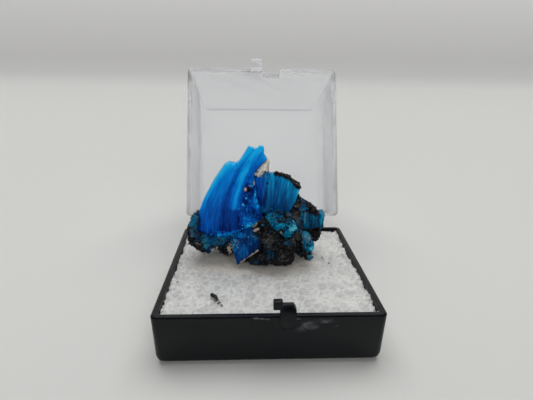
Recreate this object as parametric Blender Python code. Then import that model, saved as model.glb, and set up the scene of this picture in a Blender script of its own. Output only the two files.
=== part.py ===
# Chalcanthite thumbnail specimen on foam in a hinged display box, lid open
# Axes: +X right, +Y to the hinge, +Z up; origin at the centre of the underside of the base
# All named sizes are in millimetres and degrees

import math
from collections import namedtuple

import bmesh
import bpy
import numpy as np
from mathutils import Matrix, Vector

Lump = namedtuple("Lump", "outline front back bulge rough edge seed")

MM = 0.001
GAP = 0.3
# How far a cutter reaches past what it cuts
PAST = 1.0

# Box
SIDE = 32.0
CORNER = 0.9
WALL = 0.9
BASE_HEIGHT = 7.7
BASE_DRAFT = 0.25
BASE_FOOT_ROUND = 1.2
BASE_FLOOR = 1.0
RIM_ROUND = 0.18
CORNER_STEPS = 4
ROUND_STEPS = 3
LIP = 0.1

# Lid, given in its closed place
LID_RIM = BASE_HEIGHT + GAP
LID_DEPTH = 26.8
LID_DRAFT = 0.5
LID_TOP_ROUND = 1.0
LID_WALL = 1.0
LID_CEILING_ROUND = 0.4
LID_OPEN_ANGLE = 112.3

# Hinge, an axis along X just behind the back wall
HINGE_Y = SIDE / 2 + 1.4
HINGE_Z = 8.1
PIN_RADIUS = 0.45
BOSS_RADIUS = 0.95
CLIP_INNER = PIN_RADIUS + GAP
CLIP_OUTER = 1.12
HINGE_CENTRES = (-10.0, 10.0)
BRACKET_OFFSET = 2.1
BRACKET_WIDTH = 1.2
BRACKET_ROOT = (4.4, 7.0)
CLIP_WIDTH = 2.3
CLIP_ROOT = (8.35, 10.2)
# Arcs about the hinge: first angle, last angle, steps
BRACKET_ARC = (130, -70, 8)
PIN_ARC = (0, 330, 11)
CLIP_UPPER_ARC = (-50, 95, 9)
CLIP_LOWER_ARC = (172, 230, 4)
CLIP_INNER_ARC = (230, -50, 14)

# Front catch on the base and latch tab on the lid, Y from the outside of the front wall
CATCH_X = (1.25, 3.4)
CATCH_TAPER = 0.35
CATCH_END_HEIGHTS = (7.0, 9.2)
CATCH_PROFILE = [
    (0.4, 6.3), (-0.55, 6.1), (-0.95, 6.7), (-1.0, 8.6), (-0.7, 9.5), (-0.2, 9.85), (0.3, 9.7),
    (0.35, 9.0), (0.1, 8.4), (0.4, 7.6),
]
KNOB = {"x": (0.35, 1.6), "y": (-0.75, 0.25), "z": (9.1, 10.35), "bevel": 0.15}
STUB = {"x": (3.2, 4.1), "y": (-0.45, 0.3), "z": (6.95, 7.5), "bevel": 0.1}
NOTCH = {"x": (0.05, 3.8), "y": (-3.0, LID_WALL + PAST), "z": (LID_RIM - PAST, 10.8)}
TAB_X = (-2.4, -0.1)
TAB_PROFILE = [
    (0.3, 8.4), (0.3, 9.8), (-0.4, 9.6), (-0.95, 8.9), (-0.95, 6.6), (-1.25, 6.3), (-1.1, 5.6),
    (-0.6, 5.4), (-0.4, 5.8), (-0.4, 8.4),
]
TAB_RIB = {"x": (-1.6, -1.0), "y": (-1.15, -0.6), "z": (6.4, 9.0)}

# Foam
FOAM_TOP = 7.2
FOAM_HALF = SIDE / 2 - WALL - 0.35
FOAM_HALF_FOOT = FOAM_HALF - 0.25
FOAM_BOTTOM = BASE_FLOOR + GAP
FOAM_TORN_BAND = 1.2
FOAM_TEAR_START = 0.3
# Depth of the torn edge from corner to corner
FOAM_TEARS = (0.0, 0.5, 0.15, 0.6, 0.1, 0.4, 0.55, 0.1, 0.35, 0.0, 0.5, 0.2, 0.45, 0.0)

# Specimen, outlines as X and Z seen from the front
FIBRE_ZERO = 13.0
MAIN_BEND = 0.036
JOIN = GAP / 2

MAIN_OUTLINE = [
    (-11.2, 13.2), (-9.4, 12.3), (-7.4, 12.2), (-5.7, 12.4), (-4.2, 13.0), (-2.3, 13.9), (-0.8, 15.2),
    (-1.3, 17.1), (-1.9, 21.6), (-1.9, 22.7), (0.1, 25.0), (-0.4, 25.8), (-0.4, 26.9), (-1.0, 27.1),
    (-1.6, 26.6), (-2.2, 26.6), (-2.9, 27.0), (-4.6, 24.3), (-5.1, 24.1), (-6.0, 24.4), (-6.8, 24.0),
    (-8.8, 21.1), (-10.3, 18.5), (-11.1, 16.5),
]
DRUSE_OUTLINE = [
    (-4.4, 13.3), (-2.3, 14.2), (-1.1, 15.4), (-1.6, 17.2), (-2.2, 21.3), (-2.4, 22.0), (-3.9, 20.4),
    (-5.0, 17.0),
]
UPPER_OUTLINE = [
    (-1.25, 17.3), (-0.4, 16.1), (1.7, 15.2), (4.3, 16.2), (5.8, 20.0), (3.8, 21.5), (2.5, 22.1),
    (0.8, 22.4), (-1.85, 21.9),
]
RIGHT_OUTLINE = [
    (6.5, 12.8), (8.2, 12.7), (9.7, 12.9), (10.2, 15.5), (9.3, 15.4), (8.3, 15.7), (7.2, 16.6),
    (6.4, 15.9),
]
CHIP_OUTLINE = [
    (-4.8, 7.8), (-3.2, 9.0), (-1.6, 10.0), (-0.4, 11.0), (-1.0, 12.8), (-2.5, 14.0), (-4.3, 13.3),
    (-6.0, 12.4),
]
GYPSUM_OUTLINE = [
    (-1.8, 22.5), (-1.3, 22.05), (-0.5, 22.3), (0.25, 22.7), (0.35, 25.1), (-0.1, 24.6),
]
TURQUOISE_OUTLINE = [
    (-0.2, 16.1), (1.5, 14.0), (2.6, 13.0), (3.9, 12.5), (5.2, 13.7), (4.6, 15.0), (3.0, 15.9),
    (1.2, 16.4),
]
RIGHT_DRUSE_OUTLINE = [
    (6.0, 12.9), (6.2, 10.2), (6.6, 8.6), (7.2, 8.2), (7.8, 8.5), (7.6, 9.6), (8.1, 10.7), (7.3, 12.7),
    (6.7, 13.3),
]
FRONT_LUMP = [
    (-1.9, 14.6), (-1.2, 12.6), (-0.6, 11.2), (-1.5, 10.5), (-4.2, 8.7), (-2.5, 8.1), (-0.5, 7.9),
    (0.9, 8.1), (1.4, 7.5), (3.0, 7.7), (4.2, 7.9), (4.6, 9.8), (4.7, 12.5), (3.6, 13.6), (2.1, 14.2),
    (0.8, 15.4), (-0.5, 15.9),
]
LEFT_LOBE = [
    (-12.1, 15.8), (-12.7, 14.3), (-13.1, 11.9), (-13.0, 10.9), (-12.4, 10.1), (-9.9, 8.9), (-8.3, 9.9),
    (-6.5, 8.5), (-5.4, 11.5), (-6.0, 14.0), (-9.0, 15.0), (-11.4, 16.5),
]
LOWER_RIGHT_LOBE = [
    (3.6, 13.2), (3.8, 9.6), (4.7, 9.1), (6.3, 8.6), (7.0, 8.3), (7.5, 9.0), (7.3, 10.8), (7.2, 12.6),
    (6.4, 13.4), (5.0, 14.4),
]
RIGHT_END = [
    (5.5, 18.7), (4.2, 16.4), (4.6, 13.6), (6.5, 12.4), (7.4, 11.1), (8.5, 10.5), (9.7, 11.1),
    (9.6, 13.0), (9.9, 14.6), (9.1, 15.7), (8.0, 16.9), (6.6, 17.9),
]
BACK_MASS = [
    (-11.6, 14.2), (-12.0, 11.6), (-10.0, 9.4), (-6.2, 8.1), (-1.0, 7.5), (4.0, 7.5), (6.6, 9.6),
    (8.4, 12.2), (7.8, 15.4), (5.6, 18.6), (4.3, 20.7), (2.6, 21.9), (0.4, 21.9), (-3.0, 20.4),
    (-6.5, 18.2), (-10.0, 16.2),
]
CORE = [
    (-7.5, 12.4), (-7.0, 8.9), (-3.6, 8.6), (0.4, 7.6), (4.0, 7.6), (5.6, 9.6), (6.2, 14.0),
    (5.4, 16.4), (1.0, 16.4), (-2.4, 15.2),
]
TOP_CRUST = [
    (0.9, 22.2), (2.5, 21.9), (3.8, 21.3), (5.8, 19.9), (6.0, 20.3), (5.1, 21.0), (4.1, 22.2),
    (2.9, 22.6), (1.6, 23.1),
]
CRUMB_OUTLINE = [(-8.6, 7.6), (-7.9, 7.5), (-7.2, 7.55), (-7.4, 7.85), (-8.3, 7.95)]

# Lumps: outline, front and back as Y, bulge past them, roughness, rounded edge, seed of the roughness
ROCK_BACK = Lump(BACK_MASS, 5.0, 9.0, 0.7, 0.3, 1.2, 31)
ROCK_PARTS = {
    "core": Lump(CORE, 0.4, 7.0, 0.2, 0.2, 0.8, 32),
    "front_lump": Lump(FRONT_LUMP, -2.1, 3.0, 0.8, 0.16, 0.8, 33),
    "left_lobe": Lump(LEFT_LOBE, 0.6, 6.8, 0.4, 0.16, 0.8, 34),
    "lower_right_lobe": Lump(LOWER_RIGHT_LOBE, 0.1, 5.6, 0.2, 0.12, 0.8, 35),
    "right_end": Lump(RIGHT_END, 2.0, 6.6, 0.2, 0.16, 0.8, 36),
    "top_crust": Lump(TOP_CRUST, 2.1, 6.4, 0.0, 0.08, 0.5, 37),
}
CENTRE_DRUSE = Lump(DRUSE_OUTLINE, 1.5, 3.9, 0.3, 0.25, 0.4, 8)
CRUMB = Lump(CRUMB_OUTLINE, -11.15, -10.1, 0.1, 0.06, 0.3, 41)
# Scale of a lump's outline at its nose, its flat faces and behind its middle
NOSE_SCALE = 0.35
FACE_SCALE = 0.75
REAR_SCALE = 0.97
BACK_SCALE = 0.7
BACK_BULGE = 0.6
LUMP_WOBBLE = 0.3
LUMP_SHIFT = 1.4

# Veins and seats: front face as Y at FIBRE_ZERO, its backward lean, thickness there, its change upwards
MAIN_FACE = (1.0, 0.14, 4.8, -0.27)
UPPER_FACE = (1.9, 0.1, 3.8, -0.22)
RIGHT_FACE = (2.2, 0.05, 2.6, 0.0)
CHIP_FACE = (-0.8, 0.1, 1.2, 0.0)
TURQUOISE_SEAT = (-4.0, 0.0, 6.2, 0.0)
RIGHT_DRUSE_SEAT = (-4.0, 0.0, 5.3, 0.0)
GYPSUM_SEAT = (-1.0, 0.0, 6.4, 0.0)
VEIN_SEAT_FRONT = 1.6
# Lowers the top of a lump towards its back
BACK_DROP = 0.32
# Corners of a moved outline reach no further than the distance divided by this
MITRE_LIMIT = 0.6

# Fibres: relief, width, share of the relief that a plate of fibres has in common, slab past the outline
RIDGE = 0.22
FIBRE_WIDTH = 0.5
PLATE_FIBRES = 4
PLATE_SHARE = 0.6
SLAB_ROWS = 6
SLAB_LEFT = 6.0
SLAB_WIDER = 8.0
TRIM_PAST = 2.0
UPPER_LEAN = 0.1
UPPER_FAN = 0.03
UPPER_CENTRE = (1.0, 16.0)
STRAIGHT_LEAN = 0.1

FINISHES = {
    "black_plastic": {"colour": (0.012, 0.012, 0.013), "roughness": 0.38},
    "clear_plastic": {"colour": (0.95, 0.96, 0.97), "roughness": 0.05, "transmission": 1.0, "ior": 1.49},
    "white_foam": {"colour": (0.62, 0.61, 0.58), "roughness": 0.75},
    "chalcanthite_blue": {"colour": (0.0, 0.16, 0.5), "roughness": 0.4},
    "chalcanthite_teal": {"colour": (0.0, 0.14, 0.3), "roughness": 0.4},
    "chalcanthite_turquoise": {"colour": (0.02, 0.3, 0.4), "roughness": 0.55},
    "cream_gypsum": {"colour": (0.55, 0.48, 0.4), "roughness": 0.6},
    "black_matrix": {"colour": (0.012, 0.011, 0.011), "roughness": 0.7},
}


def clear_scene():
    for item in list(bpy.data.objects):
        bpy.data.objects.remove(item, do_unlink=True)


def finish_material(name, colour, roughness, metallic=0.0, transmission=0.0, ior=1.45):
    material = bpy.data.materials.new(name)
    material.use_nodes = True
    shader = material.node_tree.nodes["Principled BSDF"]
    shader.inputs["Base Color"].default_value = (*colour, 1.0)
    shader.inputs["Roughness"].default_value = roughness
    shader.inputs["Metallic"].default_value = metallic
    shader.inputs["Transmission Weight"].default_value = transmission
    shader.inputs["IOR"].default_value = ior
    return material


def add_object(name, points, faces, material=None):
    mesh = bpy.data.meshes.new(name)
    mesh.from_pydata([Vector(point) * MM for point in points], [], faces)
    work = bmesh.new()
    work.from_mesh(mesh)
    bmesh.ops.recalc_face_normals(work, faces=work.faces)
    work.to_mesh(mesh)
    work.free()
    thing = bpy.data.objects.new(name, mesh)
    bpy.context.scene.collection.objects.link(thing)
    if material:
        mesh.materials.append(material)
    return thing


def as_tool(thing):
    thing.hide_render = True
    thing.display_type = "WIRE"
    return thing


def combine(thing, tool, operation):
    step = thing.modifiers.new(tool.name, "BOOLEAN")
    step.operation = operation
    step.object = as_tool(tool)
    step.solver = "EXACT"


def rounded_square(half, radius, height, steps=CORNER_STEPS):
    loop = []
    for quarter in range(4):
        turn = math.radians(90 * quarter)
        centre = Vector((half - radius, half - radius, 0))
        for step in range(steps + 1):
            angle = math.radians(90 * step / steps)
            point = centre + radius * Vector((math.cos(angle), math.sin(angle), 0))
            point.rotate(Matrix.Rotation(turn, 3, "Z"))
            loop.append((point.x, point.y, height))
    return loop


def loft(name, loops, material=None):
    count = len(loops[0])
    points = [point for loop in loops for point in loop]
    faces = [list(range(count))[::-1]]
    for row in range(len(loops) - 1):
        for column in range(count):
            after = (column + 1) % count
            low = row * count
            high = low + count
            faces.append([low + column, low + after, high + after, high + column])
    last = (len(loops) - 1) * count
    faces.append([last + column for column in range(count)])
    return add_object(name, points, faces, material)


def profile_along_x(name, outline, start, end, material=None):
    loops = [[(along, across, up) for across, up in outline] for along in (start, end)]
    return loft(name, loops, material)


def hinge_arc(radius, span):
    start, end, steps = span
    angles = [math.radians(start + (end - start) * step / steps) for step in range(steps + 1)]
    return [(HINGE_Y + radius * math.cos(angle), HINGE_Z + radius * math.sin(angle)) for angle in angles]


def at_front(profile):
    return [(y - SIDE / 2, z) for y, z in profile]


def front_block(name, x, y, z, bevel=0.0):
    outline = at_front([(y[0], z[0]), (y[1], z[0]), (y[1], z[1]), (y[0], z[1])])
    thing = profile_along_x(name, outline, *x)
    if bevel:
        step = thing.modifiers.new("edges", "BEVEL")
        step.width = bevel * MM
        step.segments = 2
    return thing


# Box, lower half

def round_steps(radius):
    angles = [math.radians(90 * step / ROUND_STEPS) for step in range(ROUND_STEPS + 1)]
    return [(radius * (1 - math.sin(angle)), radius * (1 - math.cos(angle))) for angle in angles]


def base_loops():
    half = SIDE / 2
    foot = half - BASE_DRAFT
    loops = [rounded_square(foot - inset, CORNER, height) for inset, height in round_steps(BASE_FOOT_ROUND)]
    loops.append(rounded_square(half, CORNER, BASE_HEIGHT - RIM_ROUND))
    loops.append(rounded_square(half - RIM_ROUND, CORNER, BASE_HEIGHT))
    inner = half - WALL
    loops.append(rounded_square(inner + LIP / 2, CORNER / 2, BASE_HEIGHT))
    loops.append(rounded_square(inner, CORNER / 2, BASE_HEIGHT - LIP))
    loops.append(rounded_square(inner - BASE_DRAFT, CORNER / 2, BASE_FLOOR))
    return loops


def bracket_outline():
    wall = SIDE / 2 - WALL / 2
    return [(wall, height) for height in BRACKET_ROOT] + hinge_arc(BOSS_RADIUS, BRACKET_ARC)


def make_catch():
    low, high = CATCH_X
    lowest, highest = CATCH_END_HEIGHTS
    middle = at_front(CATCH_PROFILE)
    end = [(y, min(max(z, lowest), highest)) for y, z in middle]
    rows = [(low, end), (low + CATCH_TAPER, middle), (high - CATCH_TAPER, middle), (high, end)]
    return loft("catch_tongue", [[(x, y, z) for y, z in outline] for x, outline in rows])


def make_base(material):
    base = loft("base_tray", base_loops(), material)
    for side, centre in enumerate(HINGE_CENTRES):
        for hand in (-1, 1):
            middle = centre + hand * BRACKET_OFFSET
            tool = profile_along_x(f"bracket_{side}_{hand}", bracket_outline(), middle - BRACKET_WIDTH / 2,
                                   middle + BRACKET_WIDTH / 2)
            combine(base, tool, "UNION")
        pin = profile_along_x(f"pin_{side}", hinge_arc(PIN_RADIUS, PIN_ARC), centre - BRACKET_OFFSET,
                              centre + BRACKET_OFFSET)
        combine(base, pin, "UNION")
    combine(base, make_catch(), "UNION")
    combine(base, front_block("catch_knob", **KNOB), "UNION")
    combine(base, front_block("catch_stub", **STUB), "UNION")


# Box, upper half, built closed and then opened about the hinge

def lid_loops():
    half = SIDE / 2
    top = LID_RIM + LID_DEPTH
    shoulder = half - LID_DRAFT
    loops = [rounded_square(half - LIP, CORNER, LID_RIM), rounded_square(half, CORNER, LID_RIM + LIP)]
    for inset, drop in reversed(round_steps(LID_TOP_ROUND)):
        loops.append(rounded_square(shoulder - inset, CORNER, top - drop))
    return loops


def lid_hollow_loops():
    inner = SIDE / 2 - LID_WALL
    ceiling = LID_RIM + LID_DEPTH - LID_WALL
    return [
        rounded_square(inner + LIP / 2, CORNER / 2, LID_RIM - PAST),
        rounded_square(inner, CORNER / 2, LID_RIM + LIP),
        rounded_square(inner - LID_DRAFT, CORNER / 2, ceiling - LID_CEILING_ROUND),
        rounded_square(inner - LID_DRAFT - LID_CEILING_ROUND, CORNER / 2, ceiling),
    ]


def clip_outline():
    wall = SIDE / 2 - LID_WALL / 2
    outline = hinge_arc(CLIP_OUTER, CLIP_UPPER_ARC)
    outline += [(wall, height) for height in reversed(CLIP_ROOT)]
    outline += hinge_arc(CLIP_OUTER, CLIP_LOWER_ARC)
    outline += hinge_arc(CLIP_INNER, CLIP_INNER_ARC)
    return outline


def open_lid(lid):
    hinge = Vector((0, HINGE_Y, HINGE_Z)) * MM
    turn = Matrix.Rotation(math.radians(-LID_OPEN_ANGLE), 4, "X")
    for item in [lid] + [step.object for step in lid.modifiers if step.type == "BOOLEAN"]:
        item.data.transform(Matrix.Translation(-hinge))
        item.location = hinge
        item.rotation_euler = turn.to_euler()


def make_lid(material):
    lid = loft("clear_lid", lid_loops(), material)
    combine(lid, loft("lid_hollow", lid_hollow_loops()), "DIFFERENCE")
    for side, centre in enumerate(HINGE_CENTRES):
        clip = profile_along_x(f"clip_{side}", clip_outline(), centre - CLIP_WIDTH / 2,
                               centre + CLIP_WIDTH / 2)
        combine(lid, clip, "UNION")
    combine(lid, front_block("catch_notch", **NOTCH), "DIFFERENCE")
    combine(lid, profile_along_x("latch_tab", at_front(TAB_PROFILE), *TAB_X), "UNION")
    combine(lid, front_block("latch_rib", **TAB_RIB), "UNION")
    open_lid(lid)


# Foam

def torn_square(half, height, tear):
    steps = len(FOAM_TEARS) - 1
    places = [-half + 2 * half * step / steps for step in range(steps + 1)]
    right = [(half - tear * depth, place, height) for place, depth in zip(places, FOAM_TEARS)]
    left = [(-half + tear * depth, -place, height) for place, depth in zip(places, FOAM_TEARS)]
    return right + left


def make_foam(material):
    loft("foam_pad", [
        torn_square(FOAM_HALF_FOOT, FOAM_BOTTOM, 0.0),
        torn_square(FOAM_HALF, FOAM_TOP - FOAM_TORN_BAND, FOAM_TEAR_START),
        torn_square(FOAM_HALF, FOAM_TOP, 1.0),
    ], material)


# Specimen

def offset_outline(outline, distance):
    points = [Vector(point) for point in outline]
    area = sum(a.x * b.y - b.x * a.y for a, b in zip(points, points[1:] + points[:1]))
    side = 1 if area > 0 else -1
    moved = []
    for index, point in enumerate(points):
        before = (point - points[index - 1]).normalized()
        after = (points[(index + 1) % len(points)] - point).normalized()
        normal = Vector((before.y + after.y, -before.x - after.x)).normalized()
        edge = Vector((after.y, -after.x))
        moved.append(point + side * distance / max(normal.dot(edge), MITRE_LIMIT) * normal)
    return [(point.x, point.y) for point in moved]


def front_depth(face, height):
    return face[0] + face[1] * (height - FIBRE_ZERO)


def back_depth(face, height):
    return front_depth(face, height) + face[2] + face[3] * (height - FIBRE_ZERO)


def leaning_prism(name, outline, face, before, behind, material=None):
    front = [(x, front_depth(face, z) - before, z) for x, z in outline]
    back = [(x, back_depth(face, z) + behind, z) for x, z in outline]
    return loft(name, [front, back], material)


# Relief of the front and of the back, one number for each fibre
def fibre_relief(columns, seed):
    pick = np.random.RandomState(seed)
    plate_count = columns // PLATE_FIBRES + 2
    plates = np.repeat(pick.uniform(-0.5, 0.5, plate_count), PLATE_FIBRES)[:columns + 1]
    fine = pick.uniform(-1.0, 1.0, columns + 1)
    front = PLATE_SHARE * plates + (1 - PLATE_SHARE) * fine
    back = (1 - PLATE_SHARE) * plates + PLATE_SHARE * fine
    return RIDGE * front, RIDGE * back[::-1]


def sheet_faces(rows, columns):
    width = columns + 1
    sheet = width * (rows + 1)
    faces = []
    for row in range(rows):
        for column in range(columns):
            corner = row * width + column
            quad = [corner, corner + 1, corner + 1 + width, corner + width]
            faces.append(quad)
            faces.append([sheet + vertex for vertex in quad[::-1]])
    for column in range(columns):
        top = rows * width + column
        faces.append([column + 1, column, sheet + column, sheet + column + 1])
        faces.append([top, top + 1, sheet + top + 1, sheet + top])
    for row in range(rows):
        left = row * width
        right = left + columns
        faces.append([left, left + width, sheet + left + width, sheet + left])
        faces.append([right + width, right, sheet + right, sheet + right + width])
    return faces


# Slab of side by side fibres, trimmed to an outline
def fibre_slab(name, outline, face, fibre_path, seed, material):
    xs = [point[0] for point in outline]
    zs = [point[1] for point in outline]
    low, high = min(zs) - PAST, max(zs) + PAST
    columns = int((max(xs) - min(xs) + SLAB_WIDER) / FIBRE_WIDTH)
    start = min(xs) - SLAB_LEFT
    points = []
    for depth_at, relief in zip((front_depth, back_depth), fibre_relief(columns, seed)):
        for row in range(SLAB_ROWS + 1):
            height = low + (high - low) * row / SLAB_ROWS
            for column in range(columns + 1):
                depth = depth_at(face, height) + relief[column]
                points.append((fibre_path(start + column * FIBRE_WIDTH, height), depth, height))
    slab = add_object(name, points, sheet_faces(SLAB_ROWS, columns), material)
    trim = leaning_prism(f"{name}_trim", offset_outline(outline, -JOIN), face, TRIM_PAST, TRIM_PAST)
    combine(slab, trim, "INTERSECT")
    return slab


# Rough stone whose silhouette from the front is the outline
def lump(name, shape, material=None, drop=0.0):
    pick = np.random.RandomState(shape.seed)
    rough = shape.rough
    ring = []
    for index, point in enumerate(shape.outline):
        after = shape.outline[(index + 1) % len(shape.outline)]
        ring.append(point)
        middle = ((point[0] + after[0]) / 2, (point[1] + after[1]) / 2)
        ring.append((middle[0] + pick.uniform(-rough, rough), middle[1] + pick.uniform(-rough, rough)))
    cx = sum(point[0] for point in ring) / len(ring)
    cz = sum(point[1] for point in ring) / len(ring)
    top = max(point[1] for point in ring)

    def shrunk(scale, depth):
        loop = []
        for x, z in ring:
            wobble = pick.uniform(-rough, rough) if scale < 1 else 0.0
            shift = pick.uniform(-rough, rough) * LUMP_SHIFT
            grown = scale + LUMP_WOBBLE * wobble
            height = cz + (z - cz) * grown
            above = max(height - cz, 0.0) / (top - cz)
            height -= drop * above * max(depth - shape.front, 0.0)
            loop.append((cx + (x - cx) * grown, depth + shift, height))
        return loop

    return loft(name, [
        shrunk(NOSE_SCALE, shape.front - shape.bulge),
        shrunk(FACE_SCALE, shape.front),
        shrunk(1.0, shape.front + shape.edge),
        shrunk(REAR_SCALE, shape.back - shape.edge),
        shrunk(BACK_SCALE, shape.back),
        shrunk(NOSE_SCALE, shape.back + shape.bulge * BACK_BULGE),
    ], material)


def main_path(across, height):
    rise = max(height - FIBRE_ZERO, 0.0)
    return across + MAIN_BEND * rise * rise


def upper_path(across, height):
    lean = UPPER_LEAN + UPPER_FAN * (across - UPPER_CENTRE[0])
    return across + lean * (height - UPPER_CENTRE[1])


def straight_path(across, height):
    return across + STRAIGHT_LEAN * (height - FIBRE_ZERO)


def make_veins(blue, teal):
    main = fibre_slab("main_vein", MAIN_OUTLINE, MAIN_FACE, main_path, 3, blue)
    combine(main, lump("centre_druse", CENTRE_DRUSE), "UNION")
    fibre_slab("upper_right_vein", UPPER_OUTLINE, UPPER_FACE, upper_path, 5, teal)
    fibre_slab("right_end_vein", RIGHT_OUTLINE, RIGHT_FACE, straight_path, 7, teal)
    fibre_slab("lower_chip", CHIP_OUTLINE, CHIP_FACE, straight_path, 9, blue)


# Crusts lie in seats of the rock, so their outlines are drawn in by half of the gap
def make_crusts(turquoise, cream):
    centre = Lump(offset_outline(TURQUOISE_OUTLINE, -JOIN), -1.3, 1.2, 0.5, 0.22, 0.5, 21)
    right = Lump(offset_outline(RIGHT_DRUSE_OUTLINE, -JOIN), -0.9, 0.6, 0.3, 0.12, 0.35, 22)
    gypsum = Lump(offset_outline(GYPSUM_OUTLINE, -JOIN), 1.9, 4.6, 0.1, 0.05, 0.3, 23)
    lump("turquoise_druse", centre, turquoise)
    lump("right_druse", right, turquoise)
    lump("gypsum_patch", gypsum, cream)


def cut_seat(rock, name, outline, face, before=0.0, behind=0.0):
    seat = leaning_prism(f"{name}_seat", offset_outline(outline, JOIN), face, before, behind)
    combine(rock, seat, "DIFFERENCE")


def make_matrix(black):
    rock = lump("matrix_rock", ROCK_BACK, black, BACK_DROP)
    for name, shape in ROCK_PARTS.items():
        combine(rock, lump(name, shape, drop=BACK_DROP), "UNION")
    veins = {"main": (MAIN_OUTLINE, MAIN_FACE), "upper": (UPPER_OUTLINE, UPPER_FACE),
             "right": (RIGHT_OUTLINE, RIGHT_FACE), "chip": (CHIP_OUTLINE, CHIP_FACE)}
    for name, (outline, face) in veins.items():
        cut_seat(rock, name, outline, face, VEIN_SEAT_FRONT, RIDGE + GAP)
    crusts = {"turquoise": (TURQUOISE_OUTLINE, TURQUOISE_SEAT), "gypsum": (GYPSUM_OUTLINE, GYPSUM_SEAT),
              "right_druse": (RIGHT_DRUSE_OUTLINE, RIGHT_DRUSE_SEAT)}
    for name, (outline, face) in crusts.items():
        cut_seat(rock, name, outline, face)


def build():
    clear_scene()
    finishes = {name: finish_material(name, **values) for name, values in FINISHES.items()}
    make_base(finishes["black_plastic"])
    make_foam(finishes["white_foam"])
    make_lid(finishes["clear_plastic"])
    make_veins(finishes["chalcanthite_blue"], finishes["chalcanthite_teal"])
    make_crusts(finishes["chalcanthite_turquoise"], finishes["cream_gypsum"])
    make_matrix(finishes["black_matrix"])
    lump("matrix_crumb", CRUMB, finishes["black_matrix"])


build()
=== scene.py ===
# Chalcanthite on black rock in a small hinged box: the looks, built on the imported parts
import itertools
import math

import bmesh
import bpy
import numpy as np
from mathutils import Matrix, Vector
from mathutils.kdtree import KDTree


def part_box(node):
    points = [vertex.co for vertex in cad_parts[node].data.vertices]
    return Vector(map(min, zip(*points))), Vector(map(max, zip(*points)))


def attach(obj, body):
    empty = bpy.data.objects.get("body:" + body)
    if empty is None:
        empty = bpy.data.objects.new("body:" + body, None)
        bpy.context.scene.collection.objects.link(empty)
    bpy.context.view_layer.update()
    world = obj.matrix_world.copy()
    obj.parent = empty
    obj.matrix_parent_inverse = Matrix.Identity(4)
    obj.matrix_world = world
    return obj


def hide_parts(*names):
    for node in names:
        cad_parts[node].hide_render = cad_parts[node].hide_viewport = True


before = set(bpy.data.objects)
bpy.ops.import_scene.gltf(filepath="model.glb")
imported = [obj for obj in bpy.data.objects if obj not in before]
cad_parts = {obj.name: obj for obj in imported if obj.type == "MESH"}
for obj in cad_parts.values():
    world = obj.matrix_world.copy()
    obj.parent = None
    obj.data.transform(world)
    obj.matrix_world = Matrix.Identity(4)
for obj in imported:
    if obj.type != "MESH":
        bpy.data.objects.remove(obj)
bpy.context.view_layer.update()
scene = bpy.context.scene
mm = 0.001
print("parts loaded:", ", ".join(sorted(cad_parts)))


# Noise, worked out on whole arrays of points in millimetres

def hashNumber(cell, seed):
    n = cell[:, 0] * 73856093 ^ cell[:, 1] * 19349663 ^ cell[:, 2] * 83492791 ^ (seed * 2654435 + 977)
    n = n & 0x7FFFFFFF
    n = (n ^ (n >> 13)) * 1274126177 & 0x7FFFFFFF
    return ((n ^ (n >> 16)) & 0xFFFF) / 65535.0


def softNoise(places, size, seed):
    scaled = places / size
    low = np.floor(scaled).astype(np.int64)
    part = scaled - low
    part = part * part * (3 - 2 * part)
    total = np.zeros(len(places))
    for corner in itertools.product((0, 1), repeat=3):
        share = np.prod(np.where(np.array(corner) == 1, part, 1 - part), axis=1)
        total += share * hashNumber(low + np.array(corner), seed)
    return total * 2 - 1


def layeredNoise(places, size, seed, layers=3):
    total = np.zeros(len(places))
    for layer in range(layers):
        total += softNoise(places, size / 2 ** layer, seed + layer) / 2 ** layer
    return total


def cellNoise(places, size, seed):
    # distance to the nearest seed, how near a cell border is, and the cell's own number
    scaled = places / size
    low = np.floor(scaled).astype(np.int64)
    nearest = np.full(len(places), 9.0)
    second = np.full(len(places), 9.0)
    own = np.zeros(len(places))
    for step in itertools.product((-1, 0, 1), repeat=3):
        cell = low + np.array(step)
        seat = cell + np.stack([hashNumber(cell, seed + k) for k in (1, 2, 3)], axis=1)
        far = np.linalg.norm(scaled - seat, axis=1)
        closer = far < nearest
        second = np.where(closer, nearest, np.minimum(second, far))
        own = np.where(closer, hashNumber(cell, seed + 4), own)
        nearest = np.where(closer, far, nearest)
    return nearest, second - nearest, own


def smooth(value, low, high):
    t = np.clip((value - low) / (high - low), 0, 1)
    return t * t * (3 - 2 * t)


# Soft marks placed in the front view, X and Z in millimetres

def spotMark(places, spots, ragged=0.35, seed=90):
    found = np.zeros(len(places))
    wobble = 1 + ragged * layeredNoise(places, 0.5, seed, 2)
    for x, z, wide, high, strength in spots:
        far = np.hypot((places[:, 0] - x) / wide, (places[:, 2] - z) / high) * wobble
        found = np.maximum(found, strength * (1 - smooth(far, 0.7, 1.25)))
    return found


def lineMark(places, line, width, ragged=0.5, seed=91):
    found = np.zeros(len(places))
    wobble = width * (1 + ragged * layeredNoise(places, 0.4, seed, 2))
    for start, end in zip(line, line[1:]):
        a, b = np.array(start), np.array(end)
        flat = places[:, [0, 2]] - a
        along = np.clip(flat @ (b - a) / ((b - a) @ (b - a)), 0, 1)
        far = np.linalg.norm(flat - along[:, None] * (b - a), axis=1)
        found = np.maximum(found, 1 - smooth(far, 0.6 * wobble, 1.2 * wobble))
    return found


# Meshes

def solidOf(nodeName):
    # a CAD node's own solid, in millimetres, with its split corners joined again
    work = bmesh.new()
    work.from_mesh(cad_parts[nodeName].data)
    bmesh.ops.transform(work, matrix=Matrix.Scale(1 / mm, 4), verts=work.verts)
    bmesh.ops.remove_doubles(work, verts=work.verts, dist=0.002)
    work.verts.index_update()
    corners = [vertex.co.copy() for vertex in work.verts]
    faces = [[vertex.index for vertex in face.verts] for face in work.faces]
    work.free()
    return corners, faces


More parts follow.
